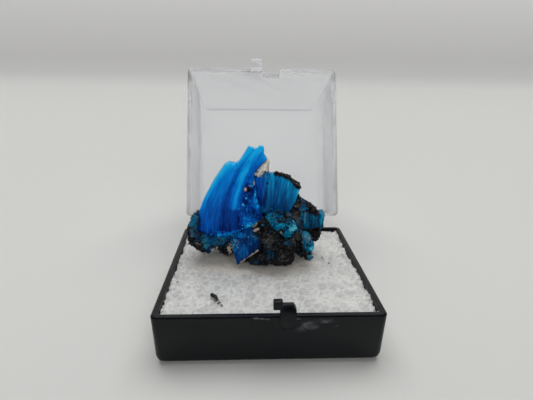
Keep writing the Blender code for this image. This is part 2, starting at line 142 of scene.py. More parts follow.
def addPiece(pieceName, corners, faces, scale=mm):
    mesh = bpy.data.meshes.new(pieceName)
    mesh.from_pydata([Vector(corner) * scale for corner in corners], [], faces)
    mesh.update()
    piece = bpy.data.objects.new(pieceName, mesh)
    scene.collection.objects.link(piece)
    return piece


def evaluated(piece):
    bpy.context.view_layer.update()
    depsgraph = bpy.context.evaluated_depsgraph_get()
    return bpy.data.meshes.new_from_object(piece.evaluated_get(depsgraph))


def fineCopy(nodeName, pieceName, grain):
    # the node's solid again as an even fine mesh, in millimetres until it is written back
    corners, faces = solidOf(nodeName)
    piece = addPiece(pieceName, corners, faces, 1.0)
    step = piece.modifiers.new("grain", "REMESH")
    step.mode = "VOXEL"
    step.voxel_size = grain
    fine = evaluated(piece)
    piece.modifiers.clear()
    piece.data = fine
    fine.name = pieceName
    return piece


def readMesh(piece):
    mesh = piece.data
    places = np.empty(len(mesh.vertices) * 3)
    mesh.vertices.foreach_get("co", places)
    normals = np.empty(len(mesh.vertices) * 3)
    mesh.vertex_normals.foreach_get("vector", normals)
    return places.reshape(-1, 3), normals.reshape(-1, 3)


def writeMesh(piece, places, scale=1.0):
    piece.data.vertices.foreach_set("co", (places * scale).ravel())
    piece.data.update()


def writeMark(piece, markName, values):
    kind = "FLOAT_VECTOR" if values.ndim == 2 else "FLOAT"
    mark = piece.data.attributes.new(markName, kind, "POINT")
    mark.data.foreach_set("vector" if values.ndim == 2 else "value", values.astype(np.float32).ravel())


def edgeDistance(nodeName, places, sharpest=50, reach=3.0):
    # distance in millimetres to the nearest sharp edge of the node that can be seen from the front
    corners, faces = solidOf(nodeName)
    work = bmesh.new()
    made = [work.verts.new(corner) for corner in corners]
    for face in faces:
        work.faces.new([made[index] for index in face])
    work.normal_update()
    samples = []
    for edge in work.edges:
        if len(edge.link_faces) != 2 or edge.calc_face_angle(0.0) < math.radians(sharpest):
            continue
        if min(face.normal.y for face in edge.link_faces) > -0.5:
            continue
        a, b = edge.verts[0].co, edge.verts[1].co
        steps = max(1, int((b - a).length / 0.15))
        samples += [a.lerp(b, k / steps) for k in range(steps + 1)]
    work.free()
    tree = KDTree(len(samples))
    for index, sample in enumerate(samples):
        tree.insert(sample, index)
    tree.balance()
    return np.minimum(np.array([tree.find(place)[2] for place in places]), reach)


def finishPiece(piece, material, replaced, body="base"):
    piece.data.materials.clear()
    piece.data.materials.append(material)
    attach(piece, body)
    if replaced:
        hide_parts(replaced)
    return piece


# Materials

def paint(red, green, blue):
    # screen colour, 0 to 255, as the linear colour that the shader wants
    return tuple(c / 12.92 if c <= 0.04045 else ((c + 0.055) / 1.055) ** 2.4
                 for c in (red / 255, green / 255, blue / 255))


def newFinish(finishName):
    material = bpy.data.materials.new(finishName)
    material.use_nodes = True
    return material, material.node_tree, material.node_tree.nodes["Principled BSDF"]


def addNode(tree, kind, feeds=None, **settings):
    made = tree.nodes.new("ShaderNode" + kind)
    for key, value in settings.items():
        setattr(made, key, value)
    for key, value in (feeds or {}).items():
        if isinstance(value, bpy.types.NodeSocket):
            tree.links.new(value, made.inputs[key])
        else:
            made.inputs[key].default_value = value
    return made


def readMark(tree, markName, output="Fac"):
    return addNode(tree, "Attribute", attribute_name=markName).outputs[output]


def stretched(tree, vector, scale):
    return addNode(tree, "Mapping", {"Vector": vector, "Scale": scale}).outputs[0]


def noiseOf(tree, vector, scale, detail=3.0, rough=0.55):
    return addNode(tree, "TexNoise", {"Vector": vector, "Scale": scale, "Detail": detail,
                                      "Roughness": rough}).outputs["Fac"]


def maths(tree, operation, first, second=0.0, clamp=False):
    return addNode(tree, "Math", {0: first, 1: second}, operation=operation, use_clamp=clamp).outputs[0]


def rangeOf(tree, value, low, high, newLow=0.0, newHigh=1.0):
    return addNode(tree, "MapRange", {"Value": value, "From Min": low, "From Max": high, "To Min": newLow,
                                      "To Max": newHigh}).outputs[0]


def mixOf(tree, share, first, second, blend="MIX"):
    made = addNode(tree, "MixRGB", {0: share}, blend_type=blend)
    for index, value in ((1, first), (2, second)):
        if isinstance(value, bpy.types.NodeSocket):
            tree.links.new(value, made.inputs[index])
        else:
            made.inputs[index].default_value = (*value, 1.0)
    return made.outputs[0]


def rampOf(tree, value, stops):
    made = addNode(tree, "ValToRGB", {"Fac": value})
    ramp = made.color_ramp
    ramp.elements[0].position, ramp.elements[0].color = stops[0][0], (*stops[0][1], 1.0)
    ramp.elements[1].position, ramp.elements[1].color = stops[-1][0], (*stops[-1][1], 1.0)
    for place, colour in stops[1:-1]:
        ramp.elements.new(place).color = (*colour, 1.0)
    return made.outputs["Color"]


def bumpOf(tree, shader, height, strength, distance):
    made = addNode(tree, "Bump", {"Height": height, "Strength": strength, "Distance": distance})
    tree.links.new(made.outputs[0], shader.inputs["Normal"])


# Chalcanthite: the tone mark runs from deep navy to bright cyan, broken up by fine fibres

crystalLook = {
    "blue": [(0.0, (0, 27, 94)), (0.25, (0, 66, 158)), (0.5, (0, 104, 203)), (0.75, (0, 143, 236)),
             (1.0, (8, 186, 250))],
    "teal": [(0.0, (2, 40, 72)), (0.25, (4, 76, 114)), (0.5, (6, 114, 150)), (0.75, (10, 156, 184)),
             (1.0, (104, 204, 214))],
    "cream": [(0.3, (120, 108, 94)), (0.5, (176, 164, 148)), (0.7, (224, 218, 208))],
    "soil": [(0.3, (5, 5, 6)), (0.55, (20, 18, 18)), (0.75, (52, 44, 40))],
    "shine": 0.08,
}


def linearStops(stops):
    return [(place, paint(*colour)) for place, colour in stops]


def centred(tree, value, amount):
    return maths(tree, "MULTIPLY", maths(tree, "SUBTRACT", value, 0.5), amount)


def crystalFinish(finishName, fibreContrast, grainContrast, roughness):
    material, tree, shader = newFinish(finishName)
    fibre = readMark(tree, "fibre", "Vector")
    spot = addNode(tree, "TexCoord").outputs["Object"]
    fine = noiseOf(tree, stretched(tree, fibre, (6.0, 3.0, 0.3)), 1.0, 3.0, 0.65)
    broad = noiseOf(tree, stretched(tree, fibre, (1.7, 1.0, 0.14)), 1.0, 2.0)
    grain = noiseOf(tree, spot, 4200.0, 3.0)
    tone = maths(tree, "ADD", readMark(tree, "tone"), centred(tree, fine, fibreContrast))
    tone = maths(tree, "ADD", tone, centred(tree, broad, fibreContrast * 0.28))
    tone = maths(tree, "ADD", tone, centred(tree, grain, grainContrast), clamp=True)
    blue = rampOf(tree, tone, linearStops(crystalLook["blue"]))
    teal = rampOf(tree, tone, linearStops(crystalLook["teal"]))
    colour = mixOf(tree, readMark(tree, "teal"), blue, teal)
    speck = noiseOf(tree, spot, 2600.0, 4.0, 0.7)
    colour = mixOf(tree, readMark(tree, "soil"), colour, rampOf(tree, speck, linearStops(crystalLook["soil"])))
    colour = mixOf(tree, readMark(tree, "chalk"), colour, rampOf(tree, speck, linearStops(crystalLook["cream"])))
    tree.links.new(colour, shader.inputs["Base Color"])
    tree.links.new(rangeOf(tree, broad, 0.3, 0.7, roughness - 0.08, roughness + 0.12), shader.inputs["Roughness"])
    shader.inputs["IOR"].default_value = 1.53
    shader.inputs["Specular IOR Level"].default_value = crystalLook["shine"]
    height = maths(tree, "ADD", fine, maths(tree, "MULTIPLY", grain, 0.5))
    bumpOf(tree, shader, height, 0.3, 0.00006)
    return material


def rockFinish(finishName):
    material, tree, shader = newFinish(finishName)
    spot = addNode(tree, "TexCoord").outputs["Object"]
    speck = noiseOf(tree, spot, 2400.0, 5.0, 0.75)
    fine = noiseOf(tree, spot, 5200.0, 3.0, 0.6)
    broad = noiseOf(tree, spot, 420.0, 3.0)
    colour = rampOf(tree, speck, [(0.3, paint(2, 2, 3)), (0.5, paint(10, 11, 14)), (0.6, paint(30, 31, 34)),
                                  (0.72, paint(104, 100, 96))])
    pale = rampOf(tree, fine, [(0.3, paint(30, 34, 36)), (0.5, paint(72, 78, 78)), (0.7, paint(150, 146, 136))])
    colour = mixOf(tree, readMark(tree, "pale"), colour, pale)
    brown = rampOf(tree, fine, [(0.3, paint(44, 24, 18)), (0.7, paint(116, 66, 52))])
    colour = mixOf(tree, readMark(tree, "brown"), colour, brown)
    stain = rampOf(tree, broad, [(0.3, paint(0, 46, 92)), (0.5, paint(0, 88, 134)), (0.7, paint(40, 150, 178))])
    patchy = maths(tree, "MULTIPLY", readMark(tree, "stain"), rangeOf(tree, fine, 0.38, 0.52, 0.5, 1.3), clamp=True)
    colour = mixOf(tree, patchy, colour, stain)
    cream = rampOf(tree, fine, linearStops(crystalLook["cream"]))
    colour = mixOf(tree, readMark(tree, "chalk"), colour, cream)
    tree.links.new(colour, shader.inputs["Base Color"])
    tree.links.new(rangeOf(tree, speck, 0.3, 0.7, 0.75, 0.4), shader.inputs["Roughness"])
    shader.inputs["IOR"].default_value = 1.5
    shader.inputs["Specular IOR Level"].default_value = 0.25
    bumpOf(tree, shader, maths(tree, "ADD", speck, maths(tree, "MULTIPLY", fine, 0.6)), 0.7, 0.00012)
    return material


def creamFinish(finishName):
    material, tree, shader = newFinish(finishName)
    spot = addNode(tree, "TexCoord").outputs["Object"]
    speck = noiseOf(tree, spot, 1900.0, 5.0, 0.75)
    colour = rampOf(tree, speck, [(0.28, paint(84, 66, 54)), (0.4, paint(168, 154, 138)), (0.5, paint(222, 215, 202)),
                                  (0.7, paint(246, 243, 236))])
    colour = mixOf(tree, readMark(tree, "stain"), colour, paint(10, 116, 168))
    tree.links.new(colour, shader.inputs["Base Color"])
    shader.inputs["Roughness"].default_value = 0.6
    bumpOf(tree, shader, speck, 0.7, 0.00014)
    return material


def fibreRidges(across, along, ridges, seed):
    # each fibre keeps its own height for a good part of its length
    total = np.zeros(len(across))
    for k, (width, length, height) in enumerate(ridges):
        grid = np.stack([across / width, np.full(len(across), 3.7), along / length], axis=1)
        total += height * softNoise(grid, 1.0, seed + k)
    return total


def alongFibres(across, places, height, width, length, seed):
    # streaks that follow the fibres
    return softNoise(np.stack([across / width, places[:, 1], height / length], axis=1), 1.0, seed)


def crystalGrains(places, size, seed):
    # blocky little crystals: flat tops at their own heights, creased between
    near, border, own = cellNoise(places, size, seed)
    return (own - 0.5) * 1.2 - 0.5 * near + 0.5 * smooth(border, 0.0, 0.25)


def jaggedEnds(places, across, amount, width, seed):
    # broken fibre ends: steps across the fibres
    steps = np.stack([across / width, places[:, 1] / 1.2, np.zeros(len(places))], axis=1)
    fine = np.stack([across / (0.4 * width), places[:, 1] / 0.5, np.zeros(len(places))], axis=1)
    return amount * softNoise(steps, 1.0, seed) + 0.5 * amount * softNoise(fine, 1.0, seed + 1)


def writeCrystal(piece, places, fibre, marks):
    writeMesh(piece, places, mm)
    writeMark(piece, "fibre", np.stack(fibre, axis=1))
    for markName in ("tone", "teal", "chalk", "soil"):
        values = marks.get(markName, 0.0) + np.zeros(len(places))
        writeMark(piece, markName, np.clip(values, 0, 1))
    piece.data.shade_smooth()


# Main blade: curved fibres with a raised pale band, a granular middle and a broken top

bladeLook = {
    "grain": 0.1,
    "swell": 0.15,
    "footSwell": 0.16,
    "bend": 0.036,
    "fan": 0.003,
    "leftFibre": -11.7,
    "straightBelow": 13.0,
    "ridges": [(0.5, 9.0, 0.05), (0.22, 6.0, 0.05), (0.11, 4.0, 0.03)],
    "bandLow": (-6.5, -0.03),
    "bandHigh": (-5.1, 0.03),
    "bandFoot": 16.7,
    "bandTone": 0.34,
    "groove": -7.4,
    "across": [(-11.7, 0.78), (-11.0, 0.68), (-10.5, 0.57), (-10.0, 0.48), (-9.5, 0.42), (-9.0, 0.42), (-8.5, 0.39),
               (-8.0, 0.36), (-7.6, 0.25), (-7.1, 0.16), (-6.5, 0.26), (-5.8, 0.33), (-5.0, 0.26), (-4.3, 0.18),
               (-3.9, 0.16), (-3.0, 0.2), (-1.5, 0.22)],
    "middleHeight": 17.0,
    "risePerMm": 0.052,
    "druse": (-2.4, 17.4, 2.3, 4.3, 1.0),
    "bright": [(-1.9, 17.9, 0.8, 1.3, 0.3), (-2.9, 15.1, 0.5, 0.8, 0.3), (-3.3, 14.0, 0.7, 0.6, 0.35),
               (-2.0, 14.1, 0.7, 0.4, 0.8), (-7.4, 12.4, 1.3, 0.4, 0.4), (-1.3, 14.7, 0.8, 0.4, 0.5),
               (-2.2, 21.2, 0.5, 0.9, 0.25), (-1.2, 15.4, 0.4, 0.6, 0.2), (-3.6, 14.6, 0.5, 0.9, 0.2)],
    "dark": [(-2.1, 16.0, 0.5, 0.6, 0.35), (-3.5, 18.3, 0.35, 0.8, 0.25), (-2.6, 20.0, 0.6, 0.5, 0.3),
             (-1.4, 15.8, 0.3, 0.5, 0.3), (-5.5, 21.1, 0.12, 0.2, 0.6),
             (-1.6, 24.0, 1.2, 2.2, 0.1)],
    "holes": [(-2.9, 20.1, 0.34, 0.32, 1.0), (-2.4, 20.5, 0.5, 0.2, 0.6)],
    "creamBits": [(-3.4, 20.2, 0.2, 0.3, 0.9), (-2.0, 21.15, 0.17, 0.34, 0.8), (-2.6, 20.75, 0.25, 0.12, 0.5)],
    "sparkles": [(-3.3, 18.7, 0.2, 0.26, 1.0), (-3.75, 17.6, 0.22, 0.2, 0.9), (-3.2, 16.6, 0.14, 0.3, 0.6),
                 (-1.9, 19.2, 0.15, 0.3, 0.6)],
    "corner": (-1.1, 16.2, 0.7, 1.4, 0.25),
    "footRidge": [(-8.8, 11.9), (-5.85, 12.65), (-3.9, 13.2), (-2.6, 13.9), (-0.5, 15.0)],
}


def makeBlade():
    look = bladeLook
    piece = fineCopy("main_vein", "chalcanthite_blade", look["grain"])
    places, normals = readMesh(piece)
    height = places[:, 2]
    rise = np.maximum(height - look["straightBelow"], 0)
    slant = places[:, 0] - look["bend"] * rise * rise
    across = slant + look["fan"] * rise * rise * (slant - look["leftFibre"])
    front = smooth(-normals[:, 1], 0.2, 0.7)
    top = smooth(normals[:, 2], 0.4, 0.8)
    druse = spotMark(places, [look["druse"]], 0.3, 12) * smooth(across, -5.1, -3.7)
    low = look["bandLow"][0] + look["bandLow"][1] * (height - 17.0)
    high = look["bandHigh"][0] + look["bandHigh"][1] * (height - 17.0)
    band = smooth(across - low, -0.1, 0.12) * (1 - smooth(across - high, -0.3, 0.2))
    band *= smooth(height + 0.4 * softNoise(places, 0.5, 10), look["bandFoot"] - 0.25, look["bandFoot"] + 0.2)
    band *= 1 - 0.75 * smooth(height, 22.0, 24.5)
    groove = np.exp(-((across - look["groove"]) / 0.2) ** 2)
    ridge = lineMark(places, look["footRidge"], 0.42, 0.6, 15)
    coarse = crystalGrains(places, 0.55, 13)
    fine = crystalGrains(places, 0.26, 14)
    lift = look["swell"] + fibreRidges(across, height, look["ridges"], 11) * (1 - 0.8 * druse)
    lift += front * (0.13 * band - 0.07 * groove)
    lift += druse * (0.1 * coarse + 0.06 * fine)
    lift += look["footSwell"] * (1 - smooth(height, 12.6, 14.2)) + spotMark(places, [look["corner"]], 0.2, 16)
    lift += front * ridge * (0.2 + 0.12 * coarse)
    lift -= 0.35 * spotMark(places, look["holes"], 0.3, 17) * front
    lift += 0.08 * softNoise(places, 2.4, 18)
    moved = places + normals * lift[:, None]
    moved[:, 2] += top * jaggedEnds(places, slant, 0.24, 0.34, 19)

    edge = edgeDistance("main_vein", places)
    xs, tones = zip(*look["across"])
    tone = np.interp(across, xs, tones) + look["risePerMm"] * (height - look["middleHeight"])
    tone += look["bandTone"] * band * (0.75 + 0.5 * alongFibres(across, places, height, 0.16, 9.0, 9))
    # painted light: front faces lighter near the sharp edges, a painted glow of light through the thin edges
    tone += 0.1 * (1 - smooth(edge, 0.1, 0.9)) * smooth(height, 14.5, 18.0) * (1 - smooth(across, -5.0, -4.0))
    tone -= 0.4 * (1 - smooth(across, -11.4, -9.8)) * (1 - smooth(height, 13.5, 20.0))
    tone += 0.14 * smooth(height, 23.0, 26.0) * smooth(across, -10.0, -8.5)
    tone += 0.04 * alongFibres(across, places, height, 0.45, 4.0, 21)
    tone += 0.09 * alongFibres(across, places, height, 0.13, 2.0, 20)
    tone += 0.05 * layeredNoise(places, 1.6, 22) + 0.03 * (1 - smooth(height, 13.2, 16.5))
    drusy = 0.28 + 0.17 * coarse + 0.11 * fine + 0.14 * layeredNoise(places, 1.4, 23)
    tone = tone * (1 - druse) + drusy * druse
    tone += spotMark(places, look["bright"], 0.7, 26) * (0.8 + 0.6 * coarse)
    tone -= spotMark(places, look["dark"], 0.7, 27)
    tone += ridge * (0.34 + 0.25 * coarse) + (1 - front) * 0.08 * (1 - smooth(across, -4.0, -3.0))
    sparkle = spotMark(places, look["sparkles"], 0.3, 25)
    soil = spotMark(places, look["holes"], 0.3, 17) * front
    writeCrystal(piece, moved, (across, places[:, 1], height), {
        "tone": tone + 0.9 * sparkle, "teal": 0.05 + 0.35 * (1 - front) + 0.6 * sparkle + 0.2 * ridge,
        "chalk": spotMark(places, look["creamBits"], 0.4, 24) * front, "soil": soil})
    return finishPiece(piece, crystalFinish("blade_crystal", 0.75, 0.16, 0.34), "main_vein")


# Upper right vein: teal streaks over navy, dark strip on the left, bright corner on the right

upperLook = {
    "grain": 0.09,
    "swell": 0.2,
    "ridges": [(0.34, 5.0, 0.06), (0.15, 3.5, 0.05)],
    "across": [(-2.2, 0.22), (-1.2, 0.2), (-0.9, 0.24), (-0.4, 0.36), (0.2, 0.42), (1.0, 0.38), (2.0, 0.4),
               (3.0, 0.42), (3.8, 0.5), (4.4, 0.6), (5.0, 0.72)],
    "tealAcross": [(-2.2, 0.0), (-0.9, 0.05), (-0.3, 0.6), (1.5, 0.6), (3.5, 0.65), (5.0, 0.7)],
    "middleHeight": 19.6,
    "risePerMm": 0.095,
    "brown": [(0.24, 20.9, 0.2, 0.26, 0.9)],
    "arc": [(-0.8, 16.7), (-0.3, 15.9), (0.3, 15.3), (0.7, 15.1)],
    "footPatches": [(0.0, 16.2, 0.9, 0.9, 0.7), (1.9, 15.9, 1.0, 0.5, 0.8), (-0.9, 15.9, 0.4, 0.5, 0.5)],
    "creamBits": [(-0.1, 22.1, 0.2, 0.12, 0.5)],
    "corner": (-0.6, 16.1, 0.9, 1.1, 0.35),
}


def makeUpperVein():
    look = upperLook
    piece = fineCopy("upper_right_vein", "chalcanthite_upper_vein", look["grain"])
    places, normals = readMesh(piece)
    height = places[:, 2]
    across = (places[:, 0] - 0.07 * (height - 16.0)) / (1 + 0.03 * (height - 16.0))
    front = smooth(-normals[:, 1], 0.2, 0.7)
    ends = smooth(np.abs(normals[:, 2]), 0.4, 0.8)
    arc = lineMark(places, look["arc"], 0.1, 0.3, 32) * front
    patches = spotMark(places, look["footPatches"], 0.6, 33)
    grains = crystalGrains(places, 0.35, 34)
    lift = look["swell"] + fibreRidges(across, height, look["ridges"], 31) * (1 - 0.6 * patches)
    lift += patches * 0.12 * grains + 0.07 * softNoise(places, 1.8, 35) - 0.12 * arc
    lift += spotMark(places, [look["corner"]], 0.2, 29)
    moved = places + normals * lift[:, None]
    moved[:, 2] += ends * jaggedEnds(places, across, 0.2, 0.3, 30)

    xs, tones = zip(*look["across"])
    tone = np.interp(across, xs, tones) + look["risePerMm"] * (height - look["middleHeight"])
    streak = alongFibres(across, places, height, 0.17, 1.6, 36)
    wide = alongFibres(across, places, height, 0.6, 3.0, 37)
    tone += (0.24 * streak + 0.05 * wide) * smooth(across, -1.2, -0.4)
    edge = edgeDistance("upper_right_vein", places)
    # painted light: lighter near the sharp edges towards the right, a painted glow through the thin edges
    tone += 0.12 * (1 - smooth(edge, 0.1, 0.6)) * smooth(across, 2.5, 4.5)
    tone = tone * (1 - 0.8 * patches) + (0.42 + 0.3 * grains) * 0.8 * patches - 0.3 * arc - 0.03
    xs, teals = zip(*look["tealAcross"])
    writeCrystal(piece, moved, (across, places[:, 1], height), {
        "tone": tone, "teal": np.interp(across, xs, teals) + 0.35 * patches,
        "chalk": spotMark(places, look["creamBits"], 0.5, 38) * front,
        "soil": spotMark(places, look["brown"], 0.4, 39) * front})
    return finishPiece(piece, crystalFinish("upper_vein_crystal", 0.85, 0.16, 0.36), "upper_right_vein")


# Right end vein and lower chip: short straight fibres

endLook = {
    "grain": 0.09,
    "swell": 0.2,
    "lean": 0.1,
    "ridges": [(0.26, 3.0, 0.05), (0.12, 2.0, 0.035)],
    "brightEdge": [(9.7, 15.3, 0.2, 0.7, 0.45), (9.5, 14.2, 0.2, 0.8, 0.4), (6.6, 15.0, 0.3, 1.8, 0.25),
                   (7.1, 13.8, 0.4, 0.5, 0.15), (8.2, 14.6, 0.2, 0.9, 0.15)],
    "greyStreaks": [(6.5, 15.6, 0.3, 1.6, 0.45)],
    "soil": [(8.7, 12.6, 0.9, 0.5, 1.0), (7.4, 16.4, 1.0, 0.5, 1.0), (8.6, 15.9, 0.8, 0.4, 0.9),
             (8.9, 13.1, 0.3, 0.3, 0.6)],
}
chipLook = {
    "grain": 0.08,
    "swell": 0.18,
    "ridges": [(0.24, 2.5, 0.045), (0.11, 1.6, 0.03)],
    "bright": [(-3.8, 10.0, 0.9, 1.1, 0.3), (-4.5, 9.2, 0.4, 1.2, 0.15), (-5.2, 9.2, 0.4, 0.9, 0.15),
               (-4.4, 12.9, 1.2, 0.3, 0.3)],
    "mottled": [(-5.2, 12.15, 0.3, 0.35, 1.0), (-5.35, 11.3, 0.25, 0.7, 0.9), (-4.9, 11.5, 0.4, 0.7, 0.4)],
    "sheen": [(-2.0, 12.9, 0.5, 0.6, 0.55), (-1.7, 12.2, 0.4, 0.5, 0.35)],
    "fade": [(-0.6, 11.2, 0.7, 2.4, 0.9), (-1.4, 10.0, 0.5, 0.5, 0.5)],
    "whiteEdge": [(-4.2, 8.45), (-3.2, 9.1), (-2.3, 9.8), (-1.4, 10.4)],
    "secondEdge": [(-3.2, 8.8), (-2.2, 9.4), (-1.6, 9.9)],
    "creamBits": [(-2.5, 9.15, 0.4, 0.22, 0.8)],
}


def makeEndVein():
    look = endLook
    piece = fineCopy("right_end_vein", "chalcanthite_end_vein", look["grain"])
    places, normals = readMesh(piece)
    height = places[:, 2]
    across = places[:, 0] - look["lean"] * (height - 13.0)
    front = smooth(-normals[:, 1], 0.2, 0.7)
    grains = crystalGrains(places, 0.4, 48)
    soil = spotMark(places, look["soil"], 0.7, 47)
    soil = np.maximum(soil, smooth(normals[:, 2], 0.2, 0.6) * (1 - smooth(places[:, 0], 8.9, 9.4)))
    lift = look["swell"] + fibreRidges(across, height, look["ridges"], 41) + 0.08 * softNoise(places, 1.2, 42)
    lift += soil * 0.14 * grains
    # painted shade: faces turned away from the front are made darker
    tone = 0.17 + 0.12 * alongFibres(across, places, height, 0.22, 2.0, 43) - 0.1 * (1 - front)
    tone += 0.14 * layeredNoise(places, 0.9, 44) + spotMark(places, look["brightEdge"], 0.4, 45)
    grey = spotMark(places, look["greyStreaks"], 0.4, 46)
    writeCrystal(piece, places + normals * lift[:, None], (across, places[:, 1], height), {
        "tone": tone + 0.2 * grey, "teal": 1.0, "chalk": 0.3 * grey * front, "soil": soil})
    return finishPiece(piece, crystalFinish("end_vein_crystal", 0.8, 0.22, 0.4), "right_end_vein")


def makeChip():
    look = chipLook
    piece = fineCopy("lower_chip", "chalcanthite_chip", look["grain"])
    places, normals = readMesh(piece)
    height = places[:, 2]
    across = places[:, 0] - 0.12 * (height - 12.0)
    front = smooth(-normals[:, 1], 0.2, 0.7)
    mottled = spotMark(places, look["mottled"], 0.5, 51)
    sheen = spotMark(places, look["sheen"], 0.5, 52)
    white = lineMark(places, look["whiteEdge"], 0.13, 0.7, 53)
    grains = crystalGrains(places, 0.35, 54)
    lift = look["swell"] + fibreRidges(across, height, look["ridges"], 55) + 0.12 * mottled * grains
    lift += 0.06 * softNoise(places, 1.2, 56)
    tone = 0.02 + spotMark(places, look["bright"], 0.7, 57) + 0.07 * layeredNoise(places, 1.1, 58)
    tone += 0.13 * alongFibres(across, places, height, 0.15, 1.8, 59)
    tone += mottled * (0.35 + 0.25 * grains) + 0.35 * sheen
    white = np.maximum(white, lineMark(places, look["secondEdge"], 0.09, 0.7, 62))
    chalk = np.maximum(white, spotMark(places, look["creamBits"], 0.5, 60))
    writeCrystal(piece, places + normals * lift[:, None], (across, places[:, 1], height), {
        "tone": tone, "teal": 0.5 + 0.4 * mottled + 0.4 * sheen,
        "chalk": np.maximum(chalk, 0.35 * mottled * smooth(grains, 0.1, 0.5)) * front,
        "soil": spotMark(places, look["fade"], 0.5, 61)})
    return finishPiece(piece, crystalFinish("chip_crystal", 0.7, 0.16, 0.34), "lower_chip")


# Turquoise crusts of fine crystals with the rock showing through, and the cream patch

crustLook = {
    "turquoise_druse": {
        "piece": "turquoise_crust", "grain": 0.08, "swell": 0.16, "tone": 0.45,
        "cover": [(1.3, 15.9, 1.4, 0.75, 0.9), (1.75, 14.7, 0.65, 0.9, 1.0), (2.5, 14.9, 0.9, 0.65, 1.0),
                  (4.1, 14.4, 1.1, 0.8, 1.0), (3.3, 13.6, 1.0, 0.7, 1.0), (3.5, 12.95, 0.9, 0.45, 1.0)],
        "bright": [(4.2, 14.4, 0.8, 0.5, 0.7), (4.7, 14.0, 0.5, 0.3, 0.5), (2.2, 15.15, 0.6, 0.3, 0.2),
                   (3.5, 13.05, 0.6, 0.3, 0.3), (0.4, 15.7, 0.8, 0.3, 0.25), (2.9, 15.0, 0.4, 0.3, 0.15)],
        "dark": [(2.7, 14.1, 0.35, 0.3, 0.4), (3.0, 14.5, 0.4, 0.2, 0.3), (1.2, 16.6, 0.5, 0.3, 0.3)],
        "holes": [(4.4, 13.35, 0.4, 0.35, 1.0), (2.6, 14.1, 0.2, 0.2, 0.8), (3.2, 14.75, 0.35, 0.15, 0.8), (3.6, 15.6, 1.0, 0.35, 0.9)],
        "chalk": [(2.5, 13.75, 0.24, 0.42, 0.85)],
    },
    "right_druse": {
        "piece": "right_crust", "grain": 0.07, "swell": 0.2, "tone": 0.3,
        "cover": [(6.6, 12.6, 0.8, 1.0, 1.0), (7.0, 11.2, 0.9, 1.1, 1.0), (7.5, 10.6, 0.6, 0.6, 1.0),
                  (7.3, 9.0, 0.5, 0.8, 1.0), (6.2, 11.2, 0.5, 0.9, 0.8)],
        "bright": [(7.55, 10.75, 0.45, 0.4, 0.6), (7.4, 9.2, 0.35, 0.5, 0.4), (6.5, 12.8, 0.4, 0.5, 0.15)],
        "dark": [(6.4, 10.2, 0.35, 0.5, 0.3), (6.9, 11.4, 0.25, 0.3, 0.2)],
        "holes": [(6.2, 9.4, 0.7, 0.6, 1.0)],
        "chalk": [(7.0, 12.4, 0.2, 0.2, 0.5), (6.4, 12.4, 0.5, 0.9, 0.1)],
    },
}
gypsumLook = {
    "grain": 0.07,
    "swell": 0.18,
    "blue": [(-0.2, 22.7, 0.5, 0.5, 1.0), (-1.5, 22.3, 0.12, 0.1, 0.3)],
}


def makeCrust(nodeName, seed):
    look = crustLook[nodeName]
    piece = fineCopy(nodeName, look["piece"], look["grain"])
    places, normals = readMesh(piece)
    front = smooth(-normals[:, 1], 0.1, 0.5)
    coarse = crystalGrains(places, 0.6, seed)
    fine = crystalGrains(places, 0.24, seed + 1)
    lift = look["swell"] + 0.09 * coarse + 0.1 * fine + 0.1 * softNoise(places, 0.9, seed + 8)
    tone = look["tone"] + 0.12 * coarse + 0.18 * fine + 0.16 * layeredNoise(places, 0.7, seed + 2)
    tone += spotMark(places, look["bright"], 0.5, seed + 3) - spotMark(places, look["dark"], 0.5, seed + 4)
    bare = 1 - spotMark(places, look["cover"], 0.8, seed + 6)
    bare = np.maximum(bare, spotMark(places, look["holes"], 0.6, seed + 7))
    bare = smooth(bare + 0.6 * fine + 0.2 * coarse, 0.3, 0.6)
    writeCrystal(piece, places + normals * lift[:, None], (places[:, 0], places[:, 1], places[:, 2]), {
        "tone": tone, "teal": 0.95 + 0.3 * coarse, "chalk": spotMark(places, look["chalk"], 0.5, seed + 5) * front,
        "soil": bare})
    return finishPiece(piece, crystalFinish(look["piece"] + "_crystal", 0.1, 0.4, 0.45), nodeName)


def makeGypsum():
    look = gypsumLook
    piece = fineCopy("gypsum_patch", "cream_gypsum_patch", look["grain"])
    places, normals = readMesh(piece)
    lift = look["swell"] + 0.2 * crystalGrains(places, 0.45, 71) + 0.1 * crystalGrains(places, 0.2, 72)
    writeMesh(piece, places + normals * lift[:, None], mm)
    writeMark(piece, "stain", spotMark(places, look["blue"], 0.5, 73))
    piece.data.shade_smooth()
    return finishPiece(piece, creamFinish("gypsum_cream"), "gypsum_patch")


# Black rock: ledges and pits, with teal stains, pale dust and cream bits

